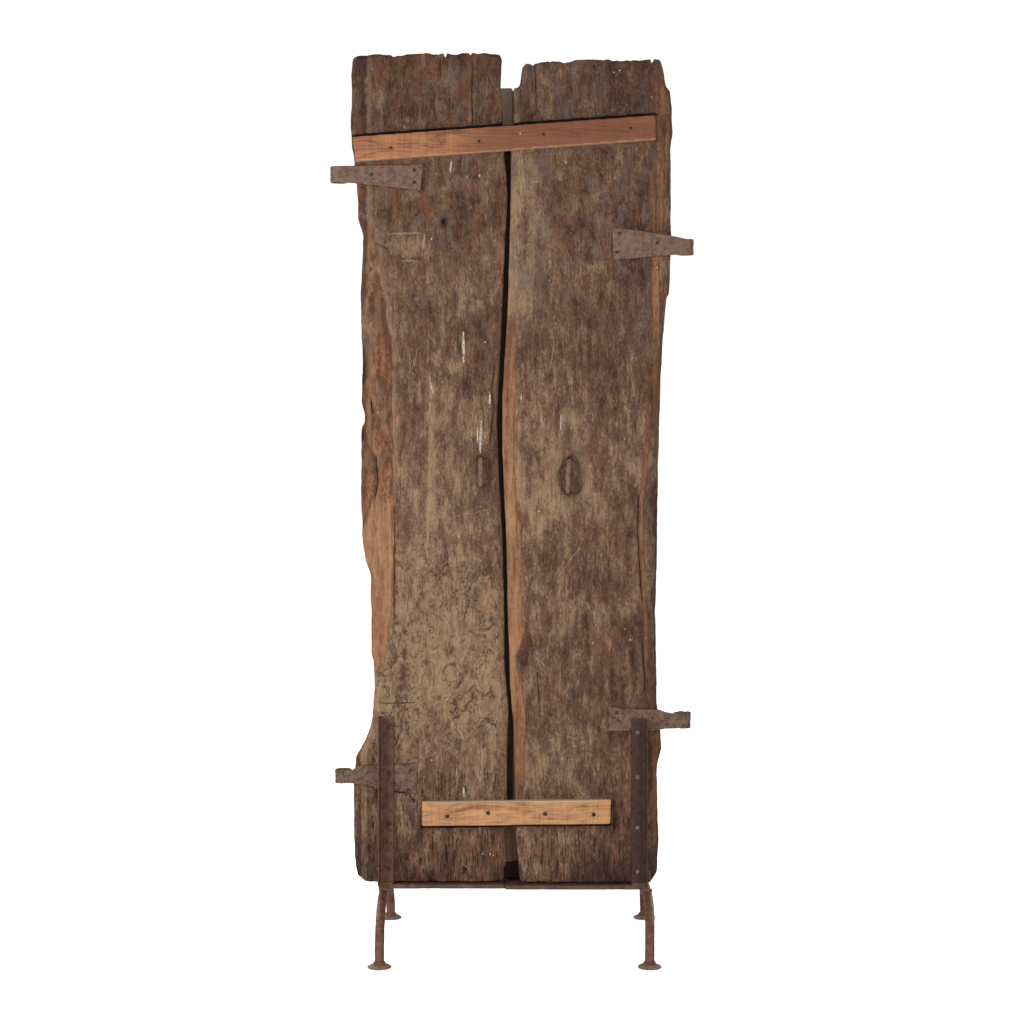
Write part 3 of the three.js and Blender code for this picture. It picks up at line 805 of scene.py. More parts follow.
def iron(kind):
    """The named iron finish, made once."""
    name = f"rusty_{kind}"
    if name in bpy.data.materials:
        return bpy.data.materials[name]
    look = settings("door_iron")
    base, dark, rust, scale, depth, roughness = {
        "strap": (look.iron, look.iron_dark, look.rust, 1.0, 0.0012, 0.6),
        "crusted_strap": (look.crust, look.nail, look.rust, 0.7, 0.0026, 0.75),
        "stand": (look.stand, look.stand_dark, look.rust, 0.8, 0.0008, 0.5),
        "left_angle": (look.angle, look.nail, look.stand, 0.8, 0.0008, 0.5),
        # the right upright: the same angle iron, darker as painted shade
        "right_angle": (look.shaded_angle, look.nail, look.stand_dark, 0.8, 0.0008, 0.5),
        "rail": (look.rail, look.stand_dark, look.rust, 0.8, 0.0008, 0.5),
        # the upstand's skin is nearly black: partly dirt, partly painted shade of the dark notch it stands
        # in
        "upstand": (look.nail, look.nail, look.stand_dark, 0.8, 0.0008, 0.7),
        "foot": (look.foot, look.stand, look.iron, 1.2, 0.0006, 0.6),
        "fastener": (look.stand_dark, look.nail, look.stand, 2.0, 0.0006, 0.55),
        "worn_head": (look.foot, look.stand_dark, look.stand, 2.0, 0.0006, 0.5),
    }[kind]
    return iron_material(name, base, dark, rust, scale, depth, roughness)


# ------------------------------------------------------------------ planks
CRACK_DEPTH = 0.0015
BACK_WANE = (0.02, 0.006)
SEATED = (
    "upper_batten", "lower_batten", "meeting_strip", "left_upright", "right_upright",
    "strap_hinge_left_upper", "strap_hinge_left_lower", "strap_hinge_right_upper", "strap_hinge_right_lower",
)


def side_limits(points, cell=0.004):
    """The lowest and highest x of a plank at each point's height."""
    row = ((points[:, 2] - points[:, 2].min()) / cell).astype(int)
    low = np.full(row.max() + 1, 1e9)
    high = np.full(row.max() + 1, -1e9)
    np.minimum.at(low, row, points[:, 0])
    np.maximum.at(high, row, points[:, 0])
    for limit in (low, high):
        gaps = np.abs(limit) > 1e8
        limit[gaps] = np.interp(np.flatnonzero(gaps), np.flatnonzero(~gaps), limit[~gaps])
    kernel = np.ones(5) / 5
    low = np.convolve(np.pad(low, 2, mode="edge"), kernel, mode="valid")
    high = np.convolve(np.pad(high, 2, mode="edge"), kernel, mode="valid")
    return low[row], high[row]


def along_height(points, stops):
    """A value at each point's height, drawn between (z, value) stops in millimetres."""
    heights, values = zip(*sorted(stops))
    return np.interp(points[:, 2], np.array(heights) * MM, np.array(values) * MM)


def relief_depth(points, seed):
    """Hewn hollows, tool facets and flaked ledges of an old face, in metres deep."""
    broad = face_noise(points, 0.11, 0.3, seed, 3)
    facets = face_noise(points, 0.035, 0.07, seed + 10, 2)
    ridges = face_noise(points, 0.01, 0.07, seed + 20, 2)
    flakes = terraces(face_noise(points, 0.045, 0.06, seed + 25, 3), 7)
    total = 0.55 * ease(broad, 0.25, 0.75) + 0.45 * facets + 0.4 * ridges + 1.3 * flakes
    return settings("door_wood").relief * total


def wane_depth(points, from_left, from_right, seed, left, right):
    """How far the arrises are worn back; left and right are each (width, depth)."""
    rag = 0.6 + 0.8 * face_noise(points, 0.03, 0.05, seed + 30, 3)
    depth = np.zeros(len(points))
    for reach, (width, back) in ((from_left, left), (from_right, right)):
        depth += back * rag * fade(reach, 0, width * rag) ** 1.5
    return depth


def rough_ends(points, seed):
    """Splits and chips in a plank's top and bottom ends, as a move along z."""
    top, bottom = points[:, 2].max(), points[:, 2].min()
    chips = layered_noise(points, (0.02, 0.03, 9), seed, 3)
    splits = ease(layered_noise(points, (0.006, 0.2, 9), seed + 1, 2), 0.66, 0.85)
    near_top = ease(points[:, 2], top - 0.03, top)
    near_bottom = fade(points[:, 2], bottom, bottom + 0.02)
    return -near_top * (0.006 * ease(chips, 0.35, 0.8) + 0.012 * splits) + near_bottom * 0.004 * chips


def shape_plank(side, seed, left, right, extra):
    """Copies and weathers a plank; left and right give each side's wane (width, depth) and raggedness.

    Returns the piece, its first points, the worn depth and the distances to both sides.
    """
    piece = copy_of_node(f"{side}_plank", f"hewn_plank_{side}")
    even_grid(piece, settings("door_wood").plank_voxel, 1)
    points = points_of(piece)
    low, high = side_limits(points)
    from_left, from_right = points[:, 0] - low, high - points[:, 0]
    surface = relief_depth(points, seed)
    shaped, broken = extra(points, from_left)
    wane = wane_depth(points, from_left, from_right, seed, left[:2], right[:2])
    flat = 1 - 0.88 * ease(contact(points, SEATED, 0.01), 0.0, 0.8)
    depth = (surface + shaped + broken + wane) * flat
    half = points[:, 1].max()
    front = np.clip(-points[:, 1] / half, 0, 1)
    back = np.clip(points[:, 1] / half, 0, 1)
    moved = points.copy()
    moved[:, 1] += front * depth
    plain = relief_depth(points, seed + 50)
    plain += wane_depth(points, from_left, from_right, seed + 50, BACK_WANE, BACK_WANE)
    moved[:, 1] -= back * 0.6 * plain * flat
    ragged = layered_noise(points, (9, 0.02, 0.03), seed + 60, 3)
    moved[:, 0] += left[2] * ragged * fade(from_left, 0, 0.012)
    moved[:, 0] -= right[2] * ragged * fade(from_right, 0, 0.012)
    moved[:, 2] += rough_ends(points, seed + 70)
    set_points(piece, moved)
    # painted shade in the front's hollows and painted highlight on its ridges, from how deep each point lies
    hollows = cavity(points, surface + broken, points[:, 1] < -0.6 * half)
    paint(piece, "hollow_shade", hollows)
    paint(piece, "ridge", -hollows)
    return piece, points, depth, from_left, from_right


def finish_plank(piece, side, seed, cracks, drips, scratches):
    keep_inside(piece, f"{side}_plank")
    material = plank_material(f"{side}_plank_wood", seed, cracks, drips, scratches)
    finish_piece(piece, [f"{side}_plank"], material, 60)


def left_band(points):
    """The broken-out band down the left plank's left side: 1 inside it."""
    edge = along_height(points, [
        (0, -360), (500, -340), (583, -262), (637, -254), (732, -247), (1248, -247), (1330, -262),
        (1400, -273), (1480, -285), (1530, -340), (1900, -360),
    ])
    wave = 0.008 * (face_noise(points, 0.03, 0.04, 91, 3) - 0.5)
    return fade(points[:, 0] - edge + wave, -0.003, 0.003)


def left_ledges(points):
    """Rises by 1 from each flaked ledge of the left plank's lower part to the next."""
    return 5 * face_noise(points, 0.07, 0.08, 98, 5)


def flaked_part(points):
    """1 where the left plank's face has flaked off in ledges, and 0.15 elsewhere."""
    return 0.15 + 0.85 * ease(points[:, 2], 0.33, 0.45) * fade(points[:, 2], 0.76, 0.9)


def left_erosion(points, from_left):
    """The left plank's lowered band and, apart, its breakage: ridges, pockets, a ledge and cracks."""
    z = points[:, 2]
    band = left_band(points)
    rough_part = ease(z, 0.9, 0.96) * (1 - 0.6 * ease(z, 1.3, 1.5))
    pockets = ease(face_noise(points, 0.022, 0.035, 92, 4), 0.5, 0.64)
    ridged = terraces(face_noise(points, 0.014, 0.04, 94), 6)
    outer = fade(from_left, 0.012, 0.045)
    broken = band * rough_part * (0.009 * ridged + 0.006 * outer * pockets)
    ledge_edge = along_height(
        points, [(850, -310), (905, -290), (930, -281), (960, -277), (1006, -279), (1040, -300)])
    wave = 0.006 * (face_noise(points, 0.012, 0.015, 93) - 0.5)
    broken += 0.006 * ease(ledge_edge - points[:, 0] + wave, 0.0, 0.003)
    for line, width in LEFT_CRACKS:
        broken += CRACK_DEPTH * near_line(points, line, (width + 3) * MM)
    broken += 0.0024 * (left_ledges(points) % 1) * flaked_part(points) * (1 - band)
    return 0.0025 * band, broken


def toward_front(points):
    """1 on a plank's front half, falling to 0.4 at its back, where less wood is bare."""
    return 1 - 0.6 * ease(points[:, 1], 0.005, 0.02)


def paint_shadows_and_nails(piece, points, side, nails):
    """Painted contact shadow where the ironwork and the battens meet a plank, with the stubs of old nails.
    """
    straps = contact(points, [f"strap_hinge_{side}_upper", f"strap_hinge_{side}_lower"], 0.006)
    above = contact(points, ["upper_batten"], 0.012, 1)
    below = contact(points, ["lower_batten"], 0.011, -1)
    # painted shadow: faint round the straps, strong above the upper batten and below the lower batten
    contact_shadows = 0.47 * ease(straps, 0.25, 0.75) + ease(above, 0.15, 0.5) + ease(below, 0.15, 0.5)
    paint(piece, "contact_shadow_and_nail", contact_shadows + nails * (points[:, 1] < 0))


def model_left_plank():
    wane = settings("door_wood").wane
    piece, points, depth, from_left, from_right = shape_plank(
        "left", 3, (0.022, wane, 0.004), (0.014, 0.4 * wane, 0.002), left_erosion)
    x, z = points[:, 0], points[:, 2]
    band = left_band(points)
    bevel = fade(from_right, 0.008, 0.018)

    upper = ease(z, 0.86, 1.0)
    broken = face_noise(points, 0.025, 0.05, 95, 4)
    crust = ease(broken + 0.12 * ease(0.04 - from_left, 0.0, 0.03), 0.5, 0.66) * upper
    ridge = bell(x + 0.253, 0.007) * upper * fade(z, 1.2, 1.28)
    bare = band * np.maximum((0.8 + 0.2 * (1 - upper)) * (1 - 0.45 * crust), ridge)
    bare *= 1 - 0.35 * ease(z, 1.15, 1.3)
    bare = np.maximum(bare, 0.75 * near_line(points, LEFT_SPLIT, 0.006))
    bare = np.maximum(bare, 0.72 * near_line(points, [(-89, 1822), (-87, 1700)], 0.009))
    streaks = ease(face_noise(points, 0.014, 0.2, 96), 0.58, 0.7) * fade(from_left, 0.03, 0.09)
    bare = np.maximum(bare, 0.55 * streaks * ease(z, 1.2, 1.4))
    paint(piece, "bare", bare * toward_front(points))
    paint(piece, "rough", band * ease(z, 0.87, 0.95))

    pale = along_height(points, [
        (120, 260), (200, 330), (330, 560), (480, 930), (650, 880), (760, 680), (900, 560), (1100, 500),
        (1300, 410), (1550, 390), (1700, 320), (1850, 280),
    ])
    lane = 1.6 * bell(x + 0.167, 0.008) * ease(z, 0.8, 0.9) * fade(z, 1.1, 1.2)
    worn_scar = near_line(points, [(-240, 1440), (-195, 1440)], 0.034)
    on_band = (0.6 + 0.15 * ease(z, 1.15, 1.3)) * band
    on_bevel = 0.12 * bevel * ease(pale, 0.5, 0.7)
    paint(piece, "pale", pale + 0.35 * lane + 0.4 * worn_scar - on_bevel + on_band)
    paint(piece, "red", 0.3 + 0.3 * ease(z, 1.2, 1.6) - 0.3 * bevel + 0.35 * fade(z, 0.22, 0.38))
    paint(piece, "blotchy", ease(z, 1.25, 1.6))
    paint(piece, "checks", 0.25 + 0.7 * fade(z, 0.25, 0.42))

    face = (1 - band) * (1 - bevel) * (points[:, 1] < 0)
    ramp = left_ledges(points) % 1
    beside = fade(np.minimum(ramp, 1 - ramp), 0.0, 0.16)
    ledge_patches = ease(face_noise(points, 0.05, 0.06, 99), 0.4, 0.62)
    paint(piece, "flakes", flaked_part(points) * face)
    # where painted shadow lines lie along the ledges, in patches
    paint(piece, "ledge", beside * ledge_patches * flaked_part(points) * face)

    nails = near_line(points, [(-282, 1447), (-258, 1438)], 0.011)
    nails += near_line(points, [(-205, 1418), (-188, 1416)], 0.01)
    paint_shadows_and_nails(piece, points, "left", 0.54 * nails)
    splashes = near_line(points, [(-62, 190), (-40, 186)], 0.014)
    splashes += 0.4 * near_line(points, [(-104, 176), (-92, 162)], 0.012)
    paint(piece, "splash", 0.6 * splashes)

    patches = face_noise(points, 0.035, 0.08, 97)
    charred = 0.7 * fade(z, 0.13, 0.24) * ease(patches, 0.47, 0.62)
    knot = 0.8 * spot(points, -0.1405, 1.494, 0.011, 0.018)
    grip = 0.6 * spot(points, -0.058, 0.98, 0.02, 0.045)
    groove = 0.6 * near_line(points, [(-154, 1622), (-146, 1592), (-143, 1572)], 0.011)
    # painted shade, darker where the broken band lies deepest
    pocket_shade = 0.25 * band * ease(depth, 0.010, 0.017)
    top = 0.4 * ease(z, 1.66, 1.76) * ease(patches, 0.4, 0.7)
    # charred foot, knot, grip, groove and top patches are stains; the right bevel's share and pocket_shade
    # are painted shade
    paint(piece, "stain", charred + knot + grip + groove + 0.3 * bevel * (z < 1.25) + pocket_shade + top)
    finish_plank(piece, "left", 0.0, LEFT_CRACKS, LEFT_DRIPS, LEFT_SCRATCHES)


def right_bevel(points):
    """The slope at the right plank's right edge, from 0 to 1 outward, and the way past its start."""
    start = along_height(points, [
        (0, 275), (500, 270), (628, 270), (711, 268), (852, 259), (920, 262), (1033, 277), (1250, 270),
        (1640, 276), (1780, 290), (1900, 300),
    ])
    past = points[:, 0] - start + 0.006 * (face_noise(points, 0.03, 0.06, 81, 2) - 0.5)
    return ease(past, 0.0, 0.045), past


def right_erosion(points, from_left):
    """Extra depth of the right plank's front: its sloping side and the split inner edge."""
    slope, _ = right_bevel(points)
    lower = 1 - 0.6 * ease(points[:, 2], 1.1, 1.35)
    grooves = face_noise(points, 0.007, 0.25, 85, 2) * slope * ease(points[:, 2], 1.0, 1.2)
    broken = 0.003 * grooves
    for line, width in RIGHT_CRACKS:
        broken += CRACK_DEPTH * near_line(points, line, (width + 3) * MM)
    return slope * 0.02 * lower + 0.002 * fade(from_left, 0.0, 0.03), broken


def model_right_plank():
    wane = settings("door_wood").wane
    piece, points, *_ = shape_plank(
        "right", 23, (0.004, 0.2 * wane, 0.0014), (0.014, wane, 0.004), right_erosion)
    x, z = points[:, 0], points[:, 2]
    slope, past = right_bevel(points)

    band_edge = along_height(points, [
        (120, 6), (200, 10), (330, 28), (480, 29), (560, 16), (600, 14), (640, 25), (800, 14), (920, 8),
        (1030, 4), (1230, 8), (1350, 14), (1450, 20), (1650, 22), (1720, 12), (1840, 8),
    ])
    wave = 0.005 * (face_noise(points, 0.02, 0.06, 82) - 0.5)
    inner = fade(x - band_edge + wave, -0.003, 0.003)
    knots = near_line(points, [(14, 594), (18, 570)], 0.012)
    faded = (1 - 0.85 * ease(z, 1.2, 1.35)) * (1 - 0.3 * fade(z, 0.4, 0.55))
    line = bell(past - 0.006, 0.006) * fade(z, 1.05, 1.2) * ease(z, 0.4, 0.7)
    streaks = ease(face_noise(points, 0.012, 0.3, 83), 0.36, 0.52) * ease(slope, 0.05, 0.5)
    streaks *= 0.75 + 0.25 * ease(z, 1.0, 1.25)
    bare = np.maximum(inner * faded * (1 - 0.6 * knots), 0.85 * np.maximum(line, streaks))
    paint(piece, "bare", bare * ease(z, 0.13, 0.3) * toward_front(points))

    across = 0.5 + 0.5 * np.cos(np.clip((x - 0.03) / 0.26, 0, 1) * math.pi)
    pale = along_height(points, [
        (120, 400), (250, 480), (400, 500), (600, 450), (750, 490), (900, 640), (1050, 600), (1200, 430),
        (1400, 430), (1650, 410), (1850, 330),
    ]) * (0.75 + 0.35 * across) * (1 - 0.3 * slope)
    lit_slope = 0.35 * slope * (0.5 + 0.5 * ease(z, 1.0, 1.2))
    lane = bell(x - 0.03, 0.018) * ease(z, 1.25, 1.4) * fade(z, 1.62, 1.68)
    lane *= ease(face_noise(points, 0.008, 0.3, 86, 2), 0.35, 0.65)
    lane += near_line(points, [(149, 1003), (160, 987), (163, 966), (157, 945), (147, 931)], 0.009)
    paint(piece, "pale", pale + lit_slope + 0.45 * inner + 0.5 * lane)
    paint(piece, "red", 0.35 + 0.35 * slope - 0.2 * ease(z, 1.1, 1.4))
    paint(piece, "flakes", 0.15 * (points[:, 1] < 0))
    paint(piece, "blotchy", ease(z, 1.2, 1.45) * (1 - 0.5 * slope))
    paint(piece, "checks", 0.25 + 0.6 * fade(z, 0.2, 0.42))

    paint_shadows_and_nails(piece, points, "right", 0.5 * near_line(points, [(172, 953), (174, 942)], 0.007))
    paint(piece, "splash", 0.15 * near_line(points, [(285, 1430), (312, 1430)], 0.016))
    patches = face_noise(points, 0.03, 0.1, 84)
    charred = 0.85 * fade(z, 0.13, 0.24) * ease(patches, 0.4, 0.54)
    grip = 0.9 * spot(points, 0.124, 0.966, 0.028, 0.044)
    top = 0.4 * ease(z, 1.62, 1.74) * ease(patches, 0.3, 0.6)
    # painted shade on the sloping right edge, laid in with the stains
    shade = 0.12 * slope * fade(z, 1.0, 1.3)
    paint(piece, "stain", charred + grip + top + shade + 0.5 * knots)
    finish_plank(piece, "right", 40.0, RIGHT_CRACKS, RIGHT_DRIPS, RIGHT_SCRATCHES)


# ------------------------------------------------------------------ battens and strip
def model_batten(node, name, seed, material, worn_lit_side):
    """A planed board with scuffed ends and one long arris, the top (1) or the bottom (-1), painted pale:
    partly wear, partly painted highlight.
    """
    piece, points, normals = remade(node, name, settings("door_wood").batten_voxel, 2)
    dents = layered_noise(points, (0.05, 0.02, 0.012), seed, 3)
    set_points(piece, points - normals * (0.0009 * dents)[:, None])
    reach = np.minimum(points[:, 0] - points[:, 0].min(), points[:, 0].max() - points[:, 0])
    scuff = layered_noise(points, (0.03, 0.03, 0.006), seed + 5, 3)
    paint(piece, "worn", 0.5 * fade(reach, 0, 0.004) + 0.4 * ease(scuff, 0.7, 0.84))
    # the face turned up or down, painted pale as wear and painted highlight
    paint(piece, "wear_and_highlight", ease(worn_lit_side * normals[:, 2], 0.25, 0.6))
    keep_inside(piece, node)
    finish_piece(piece, [node], material)


def model_strip():
    piece, points, normals = remade("meeting_strip", "weathered_meeting_strip", 0.0034, 2)
    grooves = layered_noise(points, (0.007, 0.007, 0.3), 61, 3)
    ends = layered_noise(points, (0.008, 0.01, 9), 62, 3)
    moved = points - normals * (0.0014 * grooves)[:, None]
    top = points[:, 2].max()
    moved[:, 2] -= ease(points[:, 2], top - 0.02, top) * 0.005 * ease(ends, 0.4, 0.7)
    set_points(piece, moved)
    # painted shade on the hidden part of the strip's front, painted light on its top
    hidden = fade(points[:, 2], 1.696, 1.703)
    facing = points[:, 1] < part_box("left_plank")[1].y + 0.008
    paint(piece, "slot_shade", 0.85 * hidden * ease(points[:, 2], 0.2, 0.26) * facing)
    paint(piece, "lit", (1 - hidden) * facing)
    keep_inside(piece, "meeting_strip")
    finish_piece(piece, ["meeting_strip"], strip_material())


# ------------------------------------------------------------------ iron
def model_iron(node, name, size, rounding, pit_size, pit_depth, seed, kind):
    """A CAD piece remade with an even grid, worn arrises and pits."""
    piece, points, normals = remade(node, name, size, rounding)
    pits = ease(layered_noise(points, (pit_size,) * 3, seed, 3), 0.45, 0.75)
    wave = layered_noise(points, (pit_size * 5,) * 3, seed + 9, 2)
    set_points(piece, points - normals * (pit_depth * (0.7 * pits + 0.4 * wave))[:, None])
    keep_inside(piece, node)
    finish_piece(piece, [node], iron(kind), 50)
    return piece


def weld_bead(name, places, radius, seed):
    """A lumpy bead: a short chain of flattened blobs joined into one skin."""
    parts = []
    for place in places:
        deselect()
        bpy.ops.mesh.primitive_uv_sphere_add(segments=14, ring_count=8, radius=radius, location=place)
        parts.append(bpy.context.object)
    deselect()
    for part in parts:
        part.select_set(True)
    bpy.context.view_layer.objects.active = parts[0]
    bpy.ops.object.join()
    piece = bpy.context.object
    bpy.ops.object.transform_apply(location=True, rotation=True, scale=True)
    piece.name = name
    piece.data.name = name
    even_grid(piece, radius * 0.3, 3)
    points = points_of(piece)
    lumps = layered_noise(points, (radius * 1.4,) * 3, seed, 2)
    set_points(piece, points + normals_of(piece) * (radius * 0.3 * (lumps - 0.5))[:, None])
    finish_piece(piece, [], iron("stand"), 60)


def ring_places(x, y, z, radius, count):
    turns = [2 * math.pi * i / count for i in range(count)]
    return [(x + radius * math.cos(t), y + radius * math.sin(t), z) for t in turns]


# ------------------------------------------------------------------ operators
class Maker:
    """Runs an operator's own build and reports it finished."""

    def execute(self, context):
        self.build(context.scene)
        return {"FINISHED"}


class DOOR_OT_planks(Maker, bpy.types.Operator):
    """Model the two hewn planks"""

    bl_idname = "door.planks"
    bl_label = "Hewn planks"

    def build(self, scene):
        model_left_plank()
        model_right_plank()


class DOOR_OT_battens(Maker, bpy.types.Operator):
    """Model the upper and the lower batten"""

    bl_idname = "door.battens"
    bl_label = "Battens"

    def build(self, scene):
        look = scene.door_wood
        knot = [([(-168, 1660), (-138, 1654)], 11.0), ([(-160, 1670), (-140, 1668)], 8.0)]
        red = planed_wood("upper_batten_wood", 7.0, look.batten_red, RED_DEEP, RED_WORN_HIGHLIGHT, knot, 0.75)
        model_batten("upper_batten", "red_batten", 51, red, -1)
        stain = [([(176, 298), (177, 256)], 2.6)]
        pale = planed_wood("lower_batten_wood", 19.0, look.batten_pale, PALE_DEEP, PALE_WORN_HIGHLIGHT, stain, 0.0)
        model_batten("lower_batten", "pale_batten", 57, pale, 1)


class DOOR_OT_meeting_strip(Maker, bpy.types.Operator):
    """Model the strip behind the gap"""

    bl_idname = "door.meeting_strip"
    bl_label = "Meeting strip"

    def build(self, scene):
        model_strip()


class DOOR_OT_strap_hinges(Maker, bpy.types.Operator):
    """Model the four strap hinges with their rolled eyes"""

    bl_idname = "door.strap_hinges"
    bl_label = "Strap hinges"

    def build(self, scene):
        look = scene.door_iron
        for i, place in enumerate(("left_upper", "right_upper", "left_lower", "right_lower")):
            crusted = place.endswith("lower")
            pits = look.pit_depth * (2.4 if crusted else 1.0)
            model_iron(f"strap_hinge_{place}", f"forged_strap_{place}", look.strap_voxel, 2,
                       0.009, pits, 101 + i, "crusted_strap" if crusted else "strap")


class DOOR_OT_staples(Maker, bpy.types.Operator):
    """Model the two pull staples"""

    bl_idname = "door.staples"
    bl_label = "Pull staples"

    def build(self, scene):
        for i, side in enumerate(("left", "right")):
            model_iron(f"staple_{side}", f"forged_staple_{side}", 0.0011, 2, 0.008, 0.0006,
                       121 + i, "strap")


class DOOR_OT_fasteners(Maker, bpy.types.Operator):
    """Model every nail and screw, each with its own dents"""

    bl_idname = "door.fasteners"
    bl_label = "Nails and screws"

    def build(self, scene):
        words = ("nail", "screw")
        names = sorted(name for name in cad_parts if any(word in name for word in words))
        for i, node in enumerate(names):
            kind = "worn_head" if node.startswith("right_upright") else "fastener"
            model_iron(node, f"rusted_{node}", 0.0009, 1, 0.004, 0.0005, 141 + i, kind)


class DOOR_OT_uprights(Maker, bpy.types.Operator):
    """Model the stand's two angle-iron uprights"""

    bl_idname = "door.uprights"
    bl_label = "Uprights"

    def build(self, scene):
        size = scene.door_iron.stand_voxel
        for i, side in enumerate(("left", "right")):
            model_iron(f"{side}_upright", f"angle_iron_{side}", size * 0.8, 1, 0.02, 0.0004,
                       181 + i, f"{side}_angle")


class DOOR_OT_rails(Maker, bpy.types.Operator):
    """Model the rails under the planks, their splice plate and the rear upstand"""

    bl_idname = "door.rails"
    bl_label = "Rails"

    def build(self, scene):
        size = scene.door_iron.stand_voxel
        for i, node in enumerate(("left_rail", "right_rail", "rail_splice_plate", "rear_upstand")):
            grid = size if node.endswith("rail") else size * 0.9
            # the rear upstand gets the nearly black skin: partly dirt, partly painted shade
            kind = "upstand" if node == "rear_upstand" else "rail"
            piece = model_iron(node, f"worn_{node}", grid, 2, 0.02, 0.0006, 191 + i, kind)
            if node == "rear_upstand":
                points = points_of(piece)
                middle = points[:, 2].mean()
                points[:, 2] += np.where(points[:, 2] > middle, 0.007, -0.003)
                set_points(piece, points)


class DOOR_OT_legs(Maker, bpy.types.Operator):
    """Model the bent leg bars and the foot discs"""

    bl_idname = "door.legs"
    bl_label = "Legs and feet"

    def build(self, scene):
        size = scene.door_iron.stand_voxel
        for i, side in enumerate(("left", "right")):
            model_iron(f"{side}_leg_arch", f"bent_leg_{side}", size, 2, 0.012, 0.0006,
                       201 + i, "stand")
        feet = sorted(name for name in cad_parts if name.startswith("foot_"))
        for i, node in enumerate(feet):
            model_iron(node, f"domed_{node}", 0.0014, 2, 0.01, 0.0005, 211 + i, "foot")


class DOOR_OT_welds(Maker, bpy.types.Operator):
    """Model the weld beads of the stand"""

    bl_idname = "door.welds"
    bl_label = "Welds"

    def build(self, scene):
        feet = sorted(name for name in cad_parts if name.startswith("foot_"))
        for i, node in enumerate(feet):
            low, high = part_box(node)
            middle = (low + high) / 2
            places = ring_places(middle.x, middle.y, high.z + 0.001, 0.0098, 13)
            weld_bead(f"weld_{node}", places, 0.0032, 221 + i)
        for i, side in enumerate(("left", "right")):
            low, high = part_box(f"{side}_upright")
            x = (low.x + high.x) / 2 + (-0.004 if side == "left" else 0.016)
            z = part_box(f"{side}_rail")[0].z - 0.001
            places = [(x + step * 0.004, -0.032, z) for step in (-2, -1, 0, 1, 2)]
            weld_bead(f"weld_{side}_leg", places, 0.0037, 231 + i)
            span = high.x - low.x
            places = [(low.x + span * t / 6, -0.03, low.z + 0.001) for t in range(1, 6)]
            weld_bead(f"weld_{side}_upright", places, 0.0034, 241 + i)
        self.rail_joint()

    def rail_joint(self):
        """The old weld that fills the joint of the two rails, set back from their front."""
        low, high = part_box("left_rail")
        deselect()
        middle = Vector((high.x + 0.0006, (low.y + high.y) / 2, (low.z + high.z) / 2 - 0.001))
        bpy.ops.mesh.primitive_cube_add(size=1, location=middle)
        piece = bpy.context.object
        piece.scale = (0.005, high.y - low.y - 0.008, high.z - low.z - 0.002)
        bpy.ops.object.transform_apply(location=True, scale=True)
        piece.name = piece.data.name = "rail_joint_weld"
        apply_modifier(piece, "BEVEL", width=0.0008, segments=2)
        finish_piece(piece, [], iron("fastener"), 40)


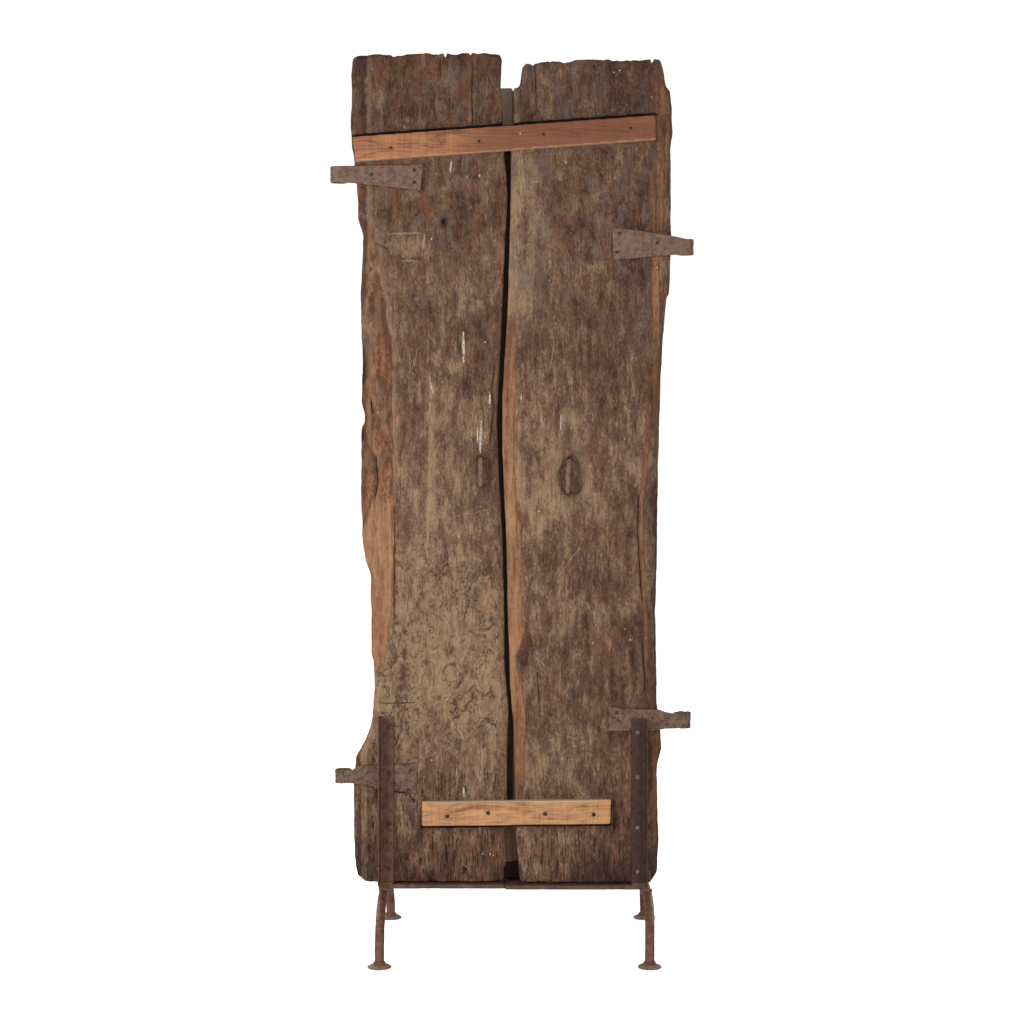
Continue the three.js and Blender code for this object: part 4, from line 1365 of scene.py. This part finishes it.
class DOOR_OT_stage(Maker, bpy.types.Operator):
    """Set up the floor, the soft lights and the camera"""

    bl_idname = "door.stage"
    bl_label = "Stage"

    def build(self, scene):
        look = scene.door_stage
        self.floor()
        self.lights(look)
        self.camera(look)
        scene.view_settings.view_transform = "Standard"

    def floor(self):
        """A pale floor that curves up into a backdrop, kept bright for the camera only."""
        deselect()
        bpy.ops.mesh.primitive_plane_add(size=1, location=(0, 0, -0.0005))
        sweep = bpy.context.object
        sweep.name = "pale_sweep"
        sweep.scale = (24, 12, 1)
        bpy.ops.object.transform_apply(scale=True)
        bpy.ops.object.mode_set(mode="EDIT")
        bpy.ops.mesh.select_all(action="DESELECT")
        mesh = bmesh.from_edit_mesh(sweep.data)
        for edge in mesh.edges:
            edge.select = all(vertex.co.y > 5 for vertex in edge.verts)
        mesh.select_flush_mode()
        bmesh.update_edit_mesh(sweep.data)
        for turn in range(1, 9):
            angle = math.radians(turn * 11.25 - 5.6)
            step = (0, 0.6 * math.cos(angle), 0.6 * math.sin(angle))
            bpy.ops.mesh.extrude_region_move(TRANSFORM_OT_translate={"value": step})
        bpy.ops.mesh.extrude_region_move(TRANSFORM_OT_translate={"value": (0, 0, 6)})
        bpy.ops.object.mode_set(mode="OBJECT")
        bpy.ops.object.shade_smooth()
        material, graph, shader, _ = new_material("pale_sweep")
        shader["Base Color"].default_value = (0.86, 0.86, 0.86, 1)
        shader["Roughness"].default_value = 1.0
        shader["Specular IOR Level"].default_value = 0.0
        shader["Emission Color"].default_value = (1, 1, 1, 1)
        seen = graph.add("LightPath").outputs["Is Camera Ray"]
        graph.join(graph.times(seen, 0.8), shader["Emission Strength"])
        sweep.data.materials.append(material)

    def lights(self, look):
        world = bpy.data.worlds.new("soft_studio")
        bpy.context.scene.world = world
        world.use_nodes = True
        graph = Graph(world.node_tree)
        seen = graph.add("LightPath").outputs["Is Camera Ray"]
        strength = graph.most(graph.times(seen, 1.1), look.ambient)
        world.node_tree.nodes["Background"].inputs["Color"].default_value = (1, 1, 1, 1)
        graph.join(strength, world.node_tree.nodes["Background"].inputs["Strength"])
        target = Vector((0, 0, 0.95))
        softboxes = (
            ("left", (-1.6, -1.8, 1.1), 0.7, look.key * 1.5),
            ("right", (1.2, -2.0, 0.95), 0.7, look.key * 0.6),
            ("front", (0.1, -4.0, 1.4), 0.9, look.key * 0.7),
            ("back_left", (-1.9, 2.6, 1.5), 1.2, look.key * 1.6),
            ("back_right", (2.2, 2.2, 1.3), 1.2, look.key * 1.2),
        )
        for name, place, size, power in softboxes:
            light = bpy.data.lights.new(name, "AREA")
            light.shape = "RECTANGLE"
            light.size = size
            light.size_y = size
            light.energy = power
            lamp = bpy.data.objects.new(f"softbox_{name}", light)
            lamp.location = place
            lamp.visible_camera = False
            lamp.rotation_euler = (target - Vector(place)).to_track_quat("-Z", "Y").to_euler()
            bpy.context.scene.collection.objects.link(lamp)

    def camera(self, look):
        data = bpy.data.cameras.new("front_camera")
        data.lens = look.lens
        data.sensor_width = 36
        data.shift_y = -0.0752
        camera = bpy.data.objects.new("front_camera", data)
        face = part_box("left_plank")[0].y
        camera.location = (0, face - look.distance, look.height)
        camera.rotation_euler = (math.radians(90), 0, 0)
        bpy.context.scene.collection.objects.link(camera)
        bpy.context.scene.camera = camera


OPERATORS = (
    DOOR_OT_stage, DOOR_OT_planks, DOOR_OT_battens, DOOR_OT_meeting_strip, DOOR_OT_strap_hinges,
    DOOR_OT_staples, DOOR_OT_fasteners, DOOR_OT_uprights, DOOR_OT_rails, DOOR_OT_legs, DOOR_OT_welds,
)


class DOOR_PT_panel(bpy.types.Panel):
    """Lists the door's pieces and settings"""

    bl_idname = "DOOR_PT_panel"
    bl_label = "Weathered door"
    bl_space_type = "VIEW_3D"
    bl_region_type = "UI"
    bl_category = "Door"

    def draw(self, context):
        for operator in OPERATORS:
            self.layout.operator(operator.bl_idname)
        for group in ("door_wood", "door_iron", "door_stage"):
            for name in getattr(context.scene, group).bl_rna.properties.keys():
                if name not in ("rna_type", "name"):
                    self.layout.prop(getattr(context.scene, group), name)


CLASSES = (DoorWoodSettings, DoorIronSettings, DoorStageSettings, *OPERATORS, DOOR_PT_panel)


def register():
    for cls in CLASSES:
        bpy.utils.register_class(cls)
    bpy.types.Scene.door_wood = bpy.props.PointerProperty(type=DoorWoodSettings)
    bpy.types.Scene.door_iron = bpy.props.PointerProperty(type=DoorIronSettings)
    bpy.types.Scene.door_stage = bpy.props.PointerProperty(type=DoorStageSettings)


def unregister():
    for name in ("door_wood", "door_iron", "door_stage"):
        delattr(bpy.types.Scene, name)
    for cls in reversed(CLASSES):
        bpy.utils.unregister_class(cls)


def main():
    register()
    build_groups()
    for operator in OPERATORS:
        group, name = operator.bl_idname.split(".")
        getattr(getattr(bpy.ops, group), name)()


if __name__ == "__main__":
    main()
